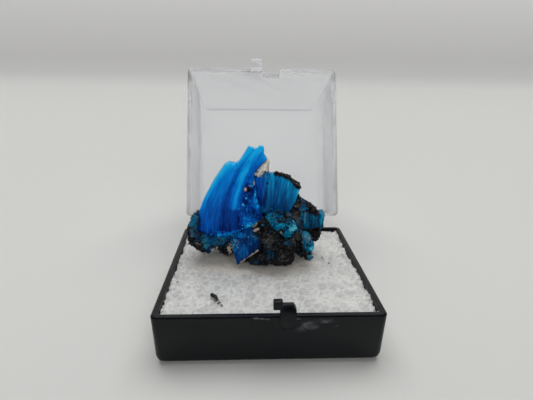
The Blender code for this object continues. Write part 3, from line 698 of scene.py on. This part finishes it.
rockLook = {
    "grain": 0.125,
    "swell": 0.06,
    "ledge": 0.5,
    "stains": [(-12.2, 14.8, 0.9, 1.2, 2.2), (-11.6, 13.4, 0.7, 0.5, 0.5), (-9.4, 12.1, 1.7, 0.7, 0.9),
               (-9.8, 10.8, 0.7, 0.9, 0.9), (-9.2, 9.6, 0.6, 0.5, 0.7), (-7.0, 12.1, 1.4, 0.5, 1.0),
               (-12.0, 12.6, 0.8, 0.6, 0.5), (-8.0, 11.2, 1.2, 0.5, 0.6), (6.4, 15.6, 0.4, 2.2, 1.2), (0.4, 10.4, 0.35, 0.9, 0.3), (1.0, 10.2, 0.15, 0.6, 0.4),
               (-0.7, 11.4, 0.3, 1.2, 0.35), (-1.8, 8.9, 0.8, 0.4, 0.2), (6.3, 16.9, 0.5, 0.9, 0.75),
               (5.9, 15.4, 0.5, 0.7, 0.7), (5.4, 13.3, 0.6, 0.5, 0.6), (5.3, 14.7, 0.4, 0.5, 0.4), (-1.0, 16.7, 0.6, 1.2, 1.4),
               (3.2, 12.3, 0.6, 0.4, 0.3), (1.5, 16.0, 1.3, 0.4, 0.8),
               (3.6, 15.6, 1.2, 0.7, 0.35)],
    "pale": [(3.2, 15.7, 1.4, 0.9, 0.8), (4.8, 15.0, 0.9, 0.9, 0.8), (5.0, 12.6, 0.8, 0.8, 0.5),
             (5.8, 16.9, 0.6, 0.5, 0.5), (-11.9, 12.6, 0.8, 0.6, 0.6), (-11.6, 10.9, 0.35, 0.2, 0.8),
             (6.2, 16.6, 0.16, 1.0, 1.0), (5.2, 17.0, 0.5, 0.15, 1.0), (0.2, 12.6, 0.9, 0.9, 0.4),
             (2.6, 10.2, 0.9, 0.5, 0.4), (3.0, 9.2, 1.0, 0.15, 0.4), (8.4, 13.4, 0.6, 0.3, 0.5)],
    "browns": [(-11.6, 14.1, 0.35, 0.45, 1.0), (4.2, 13.3, 0.4, 0.35, 0.7), (-12.0, 15.9, 0.4, 0.3, 0.5),
               (5.2, 15.6, 0.9, 0.6, 0.4), (6.6, 9.6, 0.3, 0.3, 0.4), (8.2, 16.2, 0.5, 0.5, 0.3)],
    "creamLines": [[(-2.6, 13.5), (-2.0, 13.95), (-1.3, 14.45)], [(-6.4, 9.5), (-6.0, 10.3), (-5.7, 11.3)],
                   [(-8.9, 9.8), (-8.2, 10.3)]],
    "creamSpots": [(5.0, 16.9, 0.25, 0.12, 0.8), (-6.0, 10.0, 0.35, 0.8, 0.8),
                   (-11.6, 11.0, 0.2, 0.12, 0.6)],
    "crustEdge": [(0.9, 22.2), (2.5, 21.9), (3.8, 21.3), (5.8, 19.9)],
    "crustSink": [(2.9, 0.0), (3.5, 0.3), (4.5, 0.8), (5.2, 0.75), (5.9, 0.35), (6.4, 0.0)],
}


def makeRock():
    look = rockLook
    piece = fineCopy("matrix_rock", "black_rock", look["grain"])
    places, normals = readMesh(piece)
    front = smooth(-normals[:, 1], -0.7, -0.2)
    near, border, own = cellNoise(places * np.array([1.0, 1.0, 1.7]), 1.5, 81)
    ledges = (own - 0.5) * look["ledge"] - 0.12 * (1 - smooth(border, 0.0, 0.15))
    lift = look["swell"] + ledges + 0.13 * layeredNoise(places, 0.9, 82)
    lift += 0.16 * crystalGrains(places, 0.5, 83) + 0.08 * crystalGrains(places, 0.25, 84)
    resting = 1 - smooth(places[:, 2], 7.6, 8.4)
    thin = lineMark(places, look["crustEdge"], 0.9, 0.0)
    lift = lift * (1 - 0.6 * resting) * (1 - 0.75 * thin)
    creamy = spotMark(places, look["creamSpots"], 0.6, 85)
    for line in look["creamLines"]:
        creamy = np.maximum(creamy, lineMark(places, line, 0.13, 0.6, 86))
    xs, sinks = zip(*look["crustSink"])  # the top crust thins out to the right
    sink = np.interp(places[:, 0], xs, sinks) * smooth(places[:, 2], 18.6, 19.4) * smooth(normals[:, 2], -0.2, 0.4)
    moved = places + normals * lift[:, None]
    moved[:, 2] -= sink
    writeMesh(piece, moved, mm)
    writeMark(piece, "stain", spotMark(places, look["stains"], 0.6, 87) * front)
    writeMark(piece, "pale", spotMark(places, look["pale"], 0.7, 88) * front)
    writeMark(piece, "brown", spotMark(places, look["browns"], 0.6, 89) * front)
    writeMark(piece, "chalk", creamy * front)
    piece.data.shade_smooth()
    return finishPiece(piece, rockFinish("black_rock_finish"), "matrix_rock")


# Small crystals and rock crumbs that sit on the pieces and break up their borders

crystalZones = [
    {"on": "blade upper", "spots": [(-1.6, 15.4, 1.3, 0.9, 1.0), (0.2, 16.0, 1.2, 0.5, 0.9)], "count": 150,
     "size": (0.05, 0.11), "marks": {"tone": (0.25, 0.65), "teal": (0.0, 0.5)}},
    {"on": "blade", "spots": [(-2.5, 17.6, 1.3, 2.8, 1.0)], "count": 120, "size": (0.04, 0.1),
     "marks": {"tone": (0.1, 0.5), "teal": (0.0, 0.2)}},
    {"on": "blade", "spots": [(-1.8, 14.2, 1.0, 0.35, 1.0), (-3.2, 13.7, 0.8, 0.4, 0.8)], "count": 130,
     "size": (0.05, 0.12), "marks": {"tone": (0.45, 1.0), "teal": (0.0, 0.5)}},
    {"on": "blade rock", "spots": [(-7.4, 12.4, 1.9, 0.5, 1.0), (-5.2, 12.7, 0.8, 0.3, 0.8)], "count": 190,
     "size": (0.05, 0.11), "marks": {"tone": (0.25, 0.85), "teal": (0.1, 0.6)}},
    {"on": "rock", "spots": [(-9.6, 12.2, 1.5, 0.5, 0.8), (-11.2, 13.4, 0.6, 1.6, 0.6)], "count": 120,
     "size": (0.05, 0.11), "marks": {"tone": (0.1, 0.5), "teal": (0.3, 0.8)}},
    {"on": "upper crust rock", "spots": [(1.4, 16.0, 1.5, 0.8, 1.0)], "count": 200, "size": (0.04, 0.1),
     "marks": {"tone": (0.1, 0.65), "teal": (0.7, 1.0), "chalk": (-0.8, 0.4)}},
    {"on": "crust", "spots": [(1.7, 14.8, 1.1, 0.9, 0.8), (4.0, 14.3, 1.2, 0.8, 1.0), (3.4, 13.2, 1.0, 0.6, 0.7)],
     "count": 170, "size": (0.04, 0.09), "marks": {"tone": (0.2, 0.8), "teal": (0.7, 1.0)}},
    {"on": "endCrust", "spots": [(6.9, 11.6, 0.8, 1.8, 1.0), (7.3, 9.3, 0.5, 1.0, 0.7)], "count": 120,
     "size": (0.05, 0.12), "marks": {"tone": (0.3, 0.75), "teal": (0.8, 1.0), "chalk": (-0.6, 0.4)}},
    {"on": "rock", "spots": [(6.2, 16.4, 0.5, 1.3, 1.0), (5.6, 14.2, 0.6, 0.9, 0.4)], "count": 70, "size": (0.05, 0.11),
     "marks": {"tone": (0.1, 0.6), "teal": (0.8, 1.0), "chalk": (-0.5, 0.4)}},
    {"on": "rock", "spots": [(-12.0, 14.8, 0.7, 0.9, 1.0), (-9.4, 11.6, 1.6, 0.7, 0.5)], "count": 90,
     "size": (0.05, 0.12), "marks": {"tone": (0.1, 0.5), "teal": (0.6, 1.0)}},
    {"on": "chip", "spots": [(-5.3, 12.2, 0.6, 0.6, 1.0), (-2.0, 12.8, 0.5, 0.5, 0.6)], "count": 60,
     "size": (0.04, 0.1), "marks": {"tone": (0.3, 1.0), "teal": (0.3, 1.0), "chalk": (-0.6, 0.5)}},
    {"on": "gypsum", "spots": [(-0.3, 22.7, 0.4, 0.5, 1.0)], "count": 50, "size": (0.06, 0.14),
     "marks": {"tone": (0.2, 0.7), "teal": (0.3, 1.0), "chalk": (-0.6, 0.4)}},
    {"on": "rock", "spots": [(-6.0, 10.2, 0.4, 0.9, 0.7)],
     "count": 20, "size": (0.04, 0.09), "marks": {"chalk": (0.8, 1.2)}},
]
rockZones = [
    {"on": "rock", "spots": None, "count": 2200, "size": (0.05, 0.14),
     "marks": {"pale": (-1.3, 0.5), "brown": (-3.0, 0.5), "stain": (-3.0, 0.3)}},
    {"on": "rock", "spots": [(3.2, 15.6, 1.6, 1.0, 1.0), (5.2, 15.6, 1.2, 1.6, 1.0)], "count": 260, "size": (0.05, 0.12),
     "marks": {"pale": (-0.6, 0.8), "brown": (-2.5, 0.4), "stain": (-1.0, 0.6)}},
    {"on": "crust upper", "spots": [(2.6, 12.4, 2.6, 0.35, 1.0), (0.4, 14.6, 0.35, 1.0, 1.0), (4.9, 13.3, 0.4, 0.6, 1.0),
                                    (3.4, 15.9, 1.6, 0.35, 1.0)], "count": 110, "size": (0.05, 0.14),
     "marks": {"pale": (-1.0, 0.5), "brown": (-2.5, 0.4)}},
    {"on": "rock", "spots": [(3.4, 22.3, 2.2, 0.4, 1.0), (5.4, 20.8, 0.7, 0.5, 1.0)], "count": 120,
     "size": (0.05, 0.13), "marks": {"pale": (-1.6, 0.4), "brown": (-1.5, 0.5)}},
    {"on": "chip end rock", "spots": [(-0.7, 11.2, 0.4, 1.4, 1.0), (8.6, 12.6, 0.9, 0.4, 1.0), (8.4, 16.5, 0.9, 0.3, 1.0)],
     "count": 130, "size": (0.06, 0.15), "marks": {"pale": (-1.5, 0.4), "stain": (-1.0, 0.5)}},
    {"on": "endCrust", "spots": [(6.2, 9.6, 0.6, 0.8, 1.0), (5.9, 11.6, 0.2, 1.2, 0.8)], "count": 60,
     "size": (0.05, 0.13), "marks": {"brown": (-0.8, 0.8)}},
]
boxFaces = np.array([(0, 1, 3, 2), (4, 6, 7, 5), (0, 4, 5, 1), (2, 3, 7, 6), (0, 2, 6, 4), (1, 5, 7, 3)])


def scatterGrains(pieceName, hosts, zones, markNames, seed):
    # blocky grains, each pressed a little into the surface that it stands on
    pick = np.random.RandomState(seed)
    surfaces = {hostName: readMesh(host) for hostName, host in hosts.items()}
    allCorners, allMarks = [], {markName: [] for markName in markNames}
    signs = np.array(list(itertools.product((-1.0, 1.0), repeat=3)))
    for number, zone in enumerate(zones):
        places = np.concatenate([surfaces[hostName][0] / mm for hostName in zone["on"].split()])
        normals = np.concatenate([surfaces[hostName][1] for hostName in zone["on"].split()])
        weight = smooth(-normals[:, 1], -0.3, 0.3) * smooth(places[:, 2], 7.8, 8.6)
        if zone["spots"]:
            weight *= spotMark(places, zone["spots"], 0.7, seed + number)
        else:
            weight = (0.25 + weight) * smooth(places[:, 2], 7.8, 8.6)
        count = zone["count"]
        chosen = pick.choice(len(places), count, p=weight / weight.sum())
        up = normals[chosen] + pick.normal(0, 0.5, (count, 3))
        up /= np.linalg.norm(up, axis=1)[:, None]
        side = np.cross(up, pick.normal(size=(count, 3)))
        side /= np.linalg.norm(side, axis=1)[:, None]
        halves = pick.uniform(*zone["size"], (count, 1)) * pick.uniform(0.6, 1.35, (count, 3))
        local = signs[None] * halves[:, None] * pick.uniform(0.6, 1.0, (count, 8, 1))
        axes = np.stack([side, np.cross(up, side), up], axis=1)
        centre = places[chosen] + normals[chosen] * (0.25 * halves[:, 2:])
        allCorners.append((centre[:, None] + local @ axes).reshape(-1, 3))
        for markName in markNames:
            low, high = zone["marks"].get(markName, (0.0, 0.0))
            allMarks[markName].append(np.repeat(np.clip(pick.uniform(low, high, count), 0, 1), 8))
    corners = np.concatenate(allCorners)
    faces = (np.arange(len(corners) // 8)[:, None, None] * 8 + boxFaces).reshape(-1, 4)
    piece = addPiece(pieceName, corners.tolist(), faces.tolist())
    for markName in markNames:
        writeMark(piece, markName, np.concatenate(allMarks[markName]))
    writeMark(piece, "fibre", corners)
    return piece


def makeGrains(hosts):
    small = scatterGrains("small_crystals", hosts, crystalZones, ("tone", "teal", "chalk", "soil"), 201)
    finishPiece(small, crystalFinish("small_crystal_finish", 0.1, 0.3, 0.35), None)
    crumbs = scatterGrains("rock_grains", hosts, rockZones, ("pale", "brown", "stain", "chalk"), 301)
    finishPiece(crumbs, rockFinish("rock_grain_finish"), None)


# Loose bits on the foam: a dark crumb with its pale tail, and a few specks

looseLook = {
    "crumbSlant": 0.8,
    "tail": [(-7.5, -11.2), (-7.1, -11.8), (-6.7, -12.5)],
    "specks": [(10.08, 2.47, 0.16), (10.94, 0.36, 0.12), (-14.0, -5.7, 0.14), (10.3, 1.9, 0.08)],
}


def makeCrumb():
    piece = fineCopy("matrix_crumb", "dark_crumb", 0.05)
    places, normals = readMesh(piece)
    out = places - places.mean(axis=0)
    places[:, 1] -= looseLook["crumbSlant"] * out[:, 0]
    lift = 0.06 * crystalGrains(places, 0.3, 101) - 0.1
    writeMesh(piece, places + normals * lift[:, None], mm)
    for markName in ("stain", "pale", "brown", "chalk"):
        writeMark(piece, markName, 0.3 * smooth(softNoise(places, 0.4, 102), 0.2, 0.8) * (markName == "pale"))
    piece.data.shade_smooth()
    return finishPiece(piece, rockFinish("crumb_finish"), "matrix_crumb")


def roughGrain(work, centre, size, seed):
    made = bmesh.ops.create_icosphere(work, subdivisions=3, radius=1.0)["verts"]
    pick = np.random.RandomState(seed)
    turn = Matrix.Rotation(pick.uniform(0, 6.28), 3, "Z")
    for vertex in made:
        out = turn @ Vector(vertex.co[i] * size[i] for i in range(3))
        dent = 1 + 0.25 * softNoise(np.array([list(vertex.co)]) + seed, 0.7, seed)[0]
        vertex.co = Vector(centre) + out * dent


def makeLooseBits(foamTop):
    work = bmesh.new()
    for k, (x, y) in enumerate(looseLook["tail"]):
        roughGrain(work, (x, y, foamTop + 0.1), (0.42 - 0.1 * k, 0.2, 0.13), 110 + k)
    for k, (x, y, size) in enumerate(looseLook["specks"]):
        roughGrain(work, (x, y, foamTop + 0.4 * size), (size * 1.5, size, size * 0.7), 120 + k)
    mesh = bpy.data.meshes.new("loose_specks")
    bmesh.ops.transform(work, matrix=Matrix.Scale(mm, 4), verts=work.verts)
    work.to_mesh(mesh)
    work.free()
    piece = bpy.data.objects.new("loose_specks", mesh)
    scene.collection.objects.link(piece)
    material, tree, shader = newFinish("grey_grit")
    spot = addNode(tree, "TexCoord").outputs["Object"]
    colour = rampOf(tree, noiseOf(tree, spot, 900.0, 4.0), [(0.35, paint(62, 60, 58)), (0.5, paint(112, 112, 110)),
                                                           (0.65, paint(150, 150, 146))])
    tree.links.new(colour, shader.inputs["Base Color"])
    shader.inputs["Roughness"].default_value = 0.6
    bumpOf(tree, shader, noiseOf(tree, spot, 4000.0), 0.5, 0.00005)
    mesh.shade_smooth()
    return finishPiece(piece, material, None)


# Foam: a cut slab of fused beads, torn ragged along its left and right sides

foamLook = {
    "step": 0.13,
    "beads": (1.15, 0.36),
    "sideGap": 0.06,
    "sideRise": 0.3,
    "tear": 0.22,
    "chips": (0.6, 0.3),
    # centre of the painted light on the foam under the specimen
    "paintedLightCentre": (-1.0, 1.0),
}


def makeFoam():
    look = foamLook
    low, high = (np.array(corner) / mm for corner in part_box("foam_pad"))
    halfX, halfY, topZ, footZ = high[0], high[1], high[2], low[2]
    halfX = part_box("base_tray")[1].x / mm - 0.9 - look["sideGap"]
    countX, countY = int(2 * halfX / look["step"]), int(2 * halfY / look["step"])
    us, vs = np.meshgrid(np.linspace(-1, 1, countX + 1), np.linspace(-1, 1, countY + 1), indexing="ij")
    flat = np.stack([us.ravel() * halfX, vs.ravel() * halfY, np.full(us.size, topZ)], axis=1)
    sideRows = 8

    def tearDepth(y, side):
        line = np.stack([np.full(len(y), side * 9.0), y, np.zeros(len(y))], axis=1)
        rough = 0.5 + 0.5 * layeredNoise(line, 2.6, 131) + 0.3 * softNoise(line, 0.8, 134)
        return look["tear"] * np.clip(rough, 0, 1.2) * smooth(halfY - np.abs(y), 0.0, 1.0)

    def withRelief(points, upper):
        long = points * np.array([1.0, 0.6, 1.0])
        near, border, own = cellNoise(long, look["beads"][0], 135)
        fineNear, fineBorder, fineOwn = cellNoise(long, look["beads"][1], 136)
        rim = 1 - smooth(border, 0.0, 0.3)
        relief = 0.06 * (own - 0.5) - 0.05 * rim - 0.05 * (1 - smooth(fineBorder, 0.0, 0.3))
        relief += 0.06 * layeredNoise(points, 3.5, 137) - 0.1 * smooth(fineOwn, 0.72, 0.9)
        fromSide = halfX - np.abs(points[:, 0])
        crumbly = 1 - smooth(fromSide, 0.3, 1.8)
        relief += look["sideRise"] * (1 - smooth(fromSide, 0.5, 1.6))
        _, _, chipped = cellNoise(points, look["chips"][0], 138)
        _, _, smallChipped = cellNoise(points, look["chips"][1], 139)
        relief -= crumbly * (0.45 * smooth(chipped, 0.55, 0.75) + 0.2 * smallChipped)
        return relief * upper, own, fineOwn, rim

    relief, own, fineOwn, rim = withRelief(flat, 1.0)
    top = flat.copy()
    squeeze = np.where(top[:, 0] > 0, tearDepth(top[:, 1], 1), tearDepth(top[:, 1], -1))
    top[:, 0] -= np.sign(top[:, 0]) * squeeze * smooth(np.abs(top[:, 0]) / halfX, 0.75, 1.0)
    top[:, 2] += relief
    width = countY + 1
    ring = [(i, 0) for i in range(countX + 1)] + [(countX, j) for j in range(1, countY + 1)]
    ring += [(i, countY) for i in range(countX - 1, -1, -1)] + [(0, j) for j in range(countY - 1, 0, -1)]
    ringIndex = [i * width + j for i, j in ring]
    points = [top]
    marks = [np.stack([own, fineOwn, rim], axis=1)]
    for row in range(1, sideRows + 1):
        share = row / sideRows
        line = top[ringIndex].copy()
        line[:, 2] = line[:, 2] * (1 - share ** 1.5) + footZ * share ** 1.5
        rough = np.stack([line[:, 0], line[:, 1], line[:, 2] * 2.0], axis=1)
        _, _, bite = cellNoise(rough, 0.7, 140)
        sideways = (np.abs(line[:, 0]) > halfX - 2.2)
        line[:, 0] += np.sign(line[:, 0]) * sideways * (0.3 * (bite - 0.6)) * (1 - share)
        points.append(line)
        marks.append(np.stack([bite, bite, np.ones(len(bite))], axis=1))
    faces = [[i * width + j, (i + 1) * width + j, (i + 1) * width + j + 1, i * width + j + 1]
             for i in range(countX) for j in range(countY)]
    before = ringIndex
    start = len(top)
    for row in range(sideRows):
        after = list(range(start, start + len(ring)))
        for k in range(len(ring)):
            n = (k + 1) % len(ring)
            faces.append([before[n], before[k], after[k], after[n]])
        before = after
        start += len(ring)
    faces.append(before[::-1])
    piece = addPiece("foam_block", np.concatenate(points).tolist(), faces)
    marks = np.concatenate(marks)
    places = np.concatenate(points)
    writeMark(piece, "bead", marks[:, 0])
    writeMark(piece, "grain", marks[:, 1])
    writeMark(piece, "rim", marks[:, 2])
    # painted light: a lighter, warm patch on the foam round the specimen's foot, lifting the shade there
    x, y = look["paintedLightCentre"]
    paintedLightUnder = 1 - smooth(np.hypot((places[:, 0] - x) / 12.0, (places[:, 1] - y) / 5.0), 0.6, 1.05)
    writeMark(piece, "paintedLightUnder", paintedLightUnder)
    piece.data.shade_smooth()
    material, tree, shader = newFinish("foam_beads")
    spot = addNode(tree, "TexCoord").outputs["Object"]
    bead = rampOf(tree, readMark(tree, "bead"), [(0.0, paint(203, 202, 199)), (0.5, paint(214, 213, 209)),
                                                 (1.0, paint(225, 224, 218))])
    fine = noiseOf(tree, stretched(tree, spot, (1500.0, 2400.0, 1500.0)), 1.0, 4.0, 0.65)
    colour = mixOf(tree, rangeOf(tree, fine, 0.42, 0.68, 0.0, 0.6), bead, paint(172, 174, 177))
    colour = mixOf(tree, maths(tree, "MULTIPLY", readMark(tree, "rim"), 0.4), colour, paint(240, 240, 238))
    # painted shade: the foam cells that the relief presses down are coloured darker
    dent = rangeOf(tree, readMark(tree, "grain"), 0.72, 0.9, 0.0, 0.35)
    colour = mixOf(tree, dent, colour, paint(160, 160, 164))
    # painted light: the foam under the specimen mixed towards a lighter warm colour
    colour = mixOf(tree, maths(tree, "MULTIPLY", readMark(tree, "paintedLightUnder"), 0.85), colour, paint(246, 240, 231))
    tree.links.new(colour, shader.inputs["Base Color"])
    shader.inputs["Roughness"].default_value = 0.55
    shader.inputs["Subsurface Weight"].default_value = 0.6
    shader.inputs["Subsurface Radius"].default_value = (1.0, 0.97, 0.93)
    shader.inputs["Subsurface Scale"].default_value = 0.0025
    bumpOf(tree, shader, noiseOf(tree, spot, 3400.0, 3.0), 0.35, 0.00008)
    return finishPiece(piece, material, "foam_pad")


# Box: black tray and clear lid, the CAD shapes with eased edges

trayLook = {
    "edge": 0.14,
    "scuffs": [(5.1, 6.3, 0.9, 0.7, 0.8), (5.9, 6.0, 0.8, 0.5, 0.8), (7.4, 6.9, 1.6, 0.35, 0.7),
               (4.2, 5.6, 0.7, 0.5, 0.5), (9.0, 6.0, 0.3, 0.25, 0.5)],
    # specks here are painted highlights: small bright glints near the top edge of the front wall
    "specks": [(-1.9, 7.45, 0.5, 0.14, 0.9), (-1.1, 7.4, 0.4, 0.12, 0.9), (-0.4, 7.3, 0.35, 0.14, 0.8)],
    # painted shade: near-black bands on the front wall where the shade of small dents falls
    "paintedDentShade": [(-2.3, 6.5, 0.35, 0.9, 1.0), (-0.5, 6.6, 0.35, 0.8, 1.0), (0.35, 6.4, 0.3, 0.9, 1.0)],
}


def easedCopy(nodeName, pieceName, edge, cuts=0):
    corners, faces = solidOf(nodeName)
    piece = addPiece(pieceName, corners, faces)
    if edge:
        step = piece.modifiers.new("eased edges", "BEVEL")
        step.width = edge * mm
        step.segments = 2
        step.limit_method = "ANGLE"
        step.angle_limit = math.radians(40)
        fine = evaluated(piece)
        piece.modifiers.clear()
        piece.data = fine
        fine.name = pieceName
    piece.data.shade_smooth()
    piece.data.set_sharp_from_angle(angle=math.radians(25))
    return piece


def frontSpots(tree, spot, spots, wallY):
    # soft marks on the front wall only, placed by X and Z in millimetres
    found = 0.0
    for x, z, wide, high, strength in spots:
        moved = addNode(tree, "Mapping", {"Vector": spot, "Location": (-x / wide, 0, -z / high),
                                          "Scale": (1 / (wide * mm), 0, 1 / (high * mm))}).outputs[0]
        far = addNode(tree, "VectorMath", {0: moved}, operation="LENGTH").outputs["Value"]
        found = maths(tree, "MAXIMUM", rangeOf(tree, far, 0.5, 1.2, strength, 0.0), found)
    depth = addNode(tree, "SeparateXYZ", {0: spot}).outputs["Y"]
    return maths(tree, "MULTIPLY", found, rangeOf(tree, depth, (wallY + 0.1) * mm, (wallY + 0.2) * mm, 1.0, 0.0))


def makeTray():
    look = trayLook
    piece = easedCopy("base_tray", "black_tray", look["edge"])
    material, tree, shader = newFinish("black_polystyrene")
    spot = addNode(tree, "TexCoord").outputs["Object"]
    dust = noiseOf(tree, spot, 2600.0, 4.0, 0.75)
    cloud = noiseOf(tree, spot, 160.0, 3.0)
    scratch = noiseOf(tree, stretched(tree, spot, (300.0, 300.0, 2600.0)), 1.0, 3.0)
    colour = rampOf(tree, cloud, [(0.3, paint(4, 6, 10)), (0.7, paint(9, 11, 16))])
    colour = mixOf(tree, rangeOf(tree, dust, 0.66, 0.8, 0.0, 0.25), colour, paint(90, 90, 92))
    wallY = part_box("base_tray")[0].y / mm + 1.3  # the catch stands out in front of the wall
    streaky = rangeOf(tree, noiseOf(tree, stretched(tree, spot, (500.0, 1.0, 1100.0)), 1.0, 4.0, 0.7), 0.4, 0.62)
    # real wear from the scuffs, with the specks added below as painted highlights
    wearAndPaintedGlints = maths(tree, "MULTIPLY", frontSpots(tree, spot, look["scuffs"], wallY), streaky)
    wearAndPaintedGlints = maths(tree, "MAXIMUM", wearAndPaintedGlints, frontSpots(tree, spot, look["specks"], wallY))
    colour = mixOf(tree, wearAndPaintedGlints, colour, paint(86, 89, 95))
    # painted shade of the dents on the front wall
    colour = mixOf(tree, frontSpots(tree, spot, look["paintedDentShade"], wallY), colour, paint(4, 4, 5))
    tree.links.new(colour, shader.inputs["Base Color"])
    tree.links.new(rangeOf(tree, scratch, 0.3, 0.7, 0.26, 0.42), shader.inputs["Roughness"])
    shader.inputs["IOR"].default_value = 1.5
    shader.inputs["Specular IOR Level"].default_value = 0.25
    bumpOf(tree, shader, scratch, 0.1, 0.00003)
    return finishPiece(piece, material, "base_tray")


lidLook = {"tint": (0.957, 0.96, 0.998), "clearness": 0.955, "bending": 1.12, "haze": (0.06, 0.16)}


def makeLid():
    piece = easedCopy("clear_lid", "clear_cover", 0.05)
    material, tree, shader = newFinish("clear_polystyrene")
    spot = addNode(tree, "TexCoord").outputs["Object"]
    smear = noiseOf(tree, spot, 220.0, 3.0)
    shader.inputs["Base Color"].default_value = (*lidLook["tint"], 1.0)
    shader.inputs["Transmission Weight"].default_value = lidLook["clearness"]
    shader.inputs["IOR"].default_value = lidLook["bending"]
    tree.links.new(rangeOf(tree, smear, 0.4, 0.75, *lidLook["haze"]), shader.inputs["Roughness"])
    return finishPiece(piece, material, "clear_lid", "lid")


# Stage: pale floor that sweeps up behind, soft light from above, camera where the photo was taken

stageLook = {
    "floorHalf": 900.0,
    "sweepStart": 700.0,
    "sweepRadius": 500.0,
    # painted shade along the floor and sweep: a painted shadow just in front of the tray, and painted shading up the
    # sweep
    "floorShade": [(-60.0, 0.7), (-22.0, 0.76), (-16.0, 0.665), (0.0, 0.74), (100.0, 0.75), (400.0, 0.795), (750.0, 0.86),
                   (805.0, 0.8), (865.0, 0.7), (950.0, 0.66), (1100.0, 0.74), (1200.0, 0.82)],
    "floorTint": (0.993, 1.0, 0.965),
    "wallTint": (1.005, 1.0, 0.993),
    "frontSky": 0.24,
    "backSky": 0.84,
    "topSky": 1.2,
    "sideSky": 1.15,
    "lamps": [("soft_key", 2.15, 66.0, (-20.0, 2.0), True), ("front_fill", 1.4, 60.0, (70.0, 0.0), False)],
    "coverLight": ("cover_light", 0.9, 120.0, (75.0, 0.0)),
}
cameraLook = {
    "photoWidth": 533,
    "focalPixels": 405.99,
    "sensor": 36.0,
    "place": (-2.684, -62.472, 39.152),
    "pitch": 18.011,
    "yaw": 2.452,
    "roll": 0.6876,
}


def addSun(lampName, strength, spread, tilt):
    light = bpy.data.lights.new(lampName, "SUN")
    light.energy = strength
    light.angle = math.radians(spread)
    lamp = bpy.data.objects.new(lampName, light)
    lamp.rotation_euler = (math.radians(tilt[0]), math.radians(tilt[1]), 0)
    scene.collection.objects.link(lamp)
    return lamp


def makeStage():
    look = stageLook
    profile = [(y, 0.0, y) for y in (-look["floorHalf"], -400.0, -60.0, 0.0, 60.0, 120.0, 200.0, 300.0, 340.0, 380.0,
                                     420.0, 460.0, 500.0, 560.0, 630.0, look["sweepStart"])]
    for k in range(1, 65):
        angle = math.radians(90 * k / 64)
        profile.append((look["sweepStart"] + look["sweepRadius"] * math.sin(angle),
                        look["sweepRadius"] * (1 - math.cos(angle)), look["sweepStart"] + look["sweepRadius"] * angle))
    profile.append((profile[-1][0], 1500.0, profile[-1][2] + 1000.0))
    half = look["floorHalf"] * 2
    corners = [(x, y, z) for y, z, _ in profile for x in (-half, half)]
    faces = [[2 * k, 2 * k + 1, 2 * k + 3, 2 * k + 2] for k in range(len(profile) - 1)]
    floor = addPiece("pale_floor", corners, faces)
    floor.data.shade_smooth()
    # the floor's colour carries painted shade: a shadow in front of the tray and shading up the sweep
    lengths, shades = zip(*look["floorShade"])
    alongs = np.repeat([along for _, _, along in profile], 2)
    writeMark(floor, "shade", np.interp(alongs, lengths, shades))
    writeMark(floor, "far", smooth(alongs, 720.0, 870.0))
    material, tree, shader = newFinish("pale_paper")
    shade = readMark(tree, "shade")
    tint = mixOf(tree, readMark(tree, "far"), look["floorTint"], look["wallTint"])
    tree.links.new(mixOf(tree, 1.0, shade, tint, "MULTIPLY"), shader.inputs["Base Color"])
    shader.inputs["Roughness"].default_value = 0.9
    shader.inputs["Specular IOR Level"].default_value = 0.1
    floor.data.materials.append(material)
    world = bpy.data.worlds.new("soft_room")
    world.use_nodes = True
    tree = world.node_tree
    way = addNode(tree, "SeparateXYZ", {0: addNode(tree, "TexCoord").outputs["Generated"]})
    level = rangeOf(tree, way.outputs["Y"], -0.5, 0.5, look["frontSky"], look["backSky"])
    aside = rangeOf(tree, maths(tree, "ABSOLUTE", way.outputs["X"]), 0.4, 0.95)
    level = maths(tree, "ADD", level, maths(tree, "MULTIPLY", aside, maths(tree, "SUBTRACT", look["sideSky"], level)))
    above = rangeOf(tree, way.outputs["Z"], 0.25, 0.85)
    rise = maths(tree, "MULTIPLY", above, maths(tree, "SUBTRACT", look["topSky"], level))
    tree.links.new(maths(tree, "ADD", level, rise), tree.nodes["Background"].inputs["Strength"])
    scene.world = world
    for lampName, strength, spread, tilt, shines in look["lamps"]:
        lamp = addSun(lampName, strength, spread, tilt)
        lamp.visible_glossy = shines
        lamp.visible_transmission = shines
    lamp = addSun(*look["coverLight"])
    lamp.visible_diffuse = False
    lamp.visible_glossy = False


def makeCamera():
    look = cameraLook
    pitch, yaw, roll = (math.radians(look[key]) for key in ("pitch", "yaw", "roll"))
    ahead = Vector((math.sin(yaw) * math.cos(pitch), math.cos(yaw) * math.cos(pitch), -math.sin(pitch)))
    level = Vector((math.cos(yaw), -math.sin(yaw), 0))
    upright = level.cross(ahead)
    right = math.cos(roll) * level + math.sin(roll) * upright
    up = -math.sin(roll) * level + math.cos(roll) * upright
    camera = bpy.data.objects.new("photo_camera", bpy.data.cameras.new("photo_camera"))
    camera.data.sensor_width = look["sensor"]
    camera.data.lens = look["focalPixels"] * look["sensor"] / look["photoWidth"]
    camera.data.clip_start = 0.002
    camera.data.clip_end = 20.0
    turn = Matrix((right, up, -ahead)).transposed().to_4x4()
    camera.matrix_world = Matrix.Translation(Vector(look["place"]) * mm) @ turn
    scene.collection.objects.link(camera)
    scene.camera = camera


makeCamera()
makeStage()
scene.view_settings.view_transform = "Standard"
scene.cycles.glossy_bounces = 16
scene.cycles.transmission_bounces = 24
scene.cycles.max_bounces = 24
print("stage and camera set")
makeTray()
makeLid()
print("box dressed")
makeFoam()
makeCrumb()
makeLooseBits(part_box("foam_pad")[1].z / mm)
print("foam and loose bits made")
dressed = {"blade": makeBlade(), "upper": makeUpperVein(), "end": makeEndVein(), "chip": makeChip()}
print("blue crystals made")
dressed["crust"] = makeCrust("turquoise_druse", 400)
dressed["endCrust"] = makeCrust("right_druse", 420)
dressed["gypsum"] = makeGypsum()
dressed["rock"] = makeRock()
print("crusts and rock made")
makeGrains(dressed)
print("small grains made")
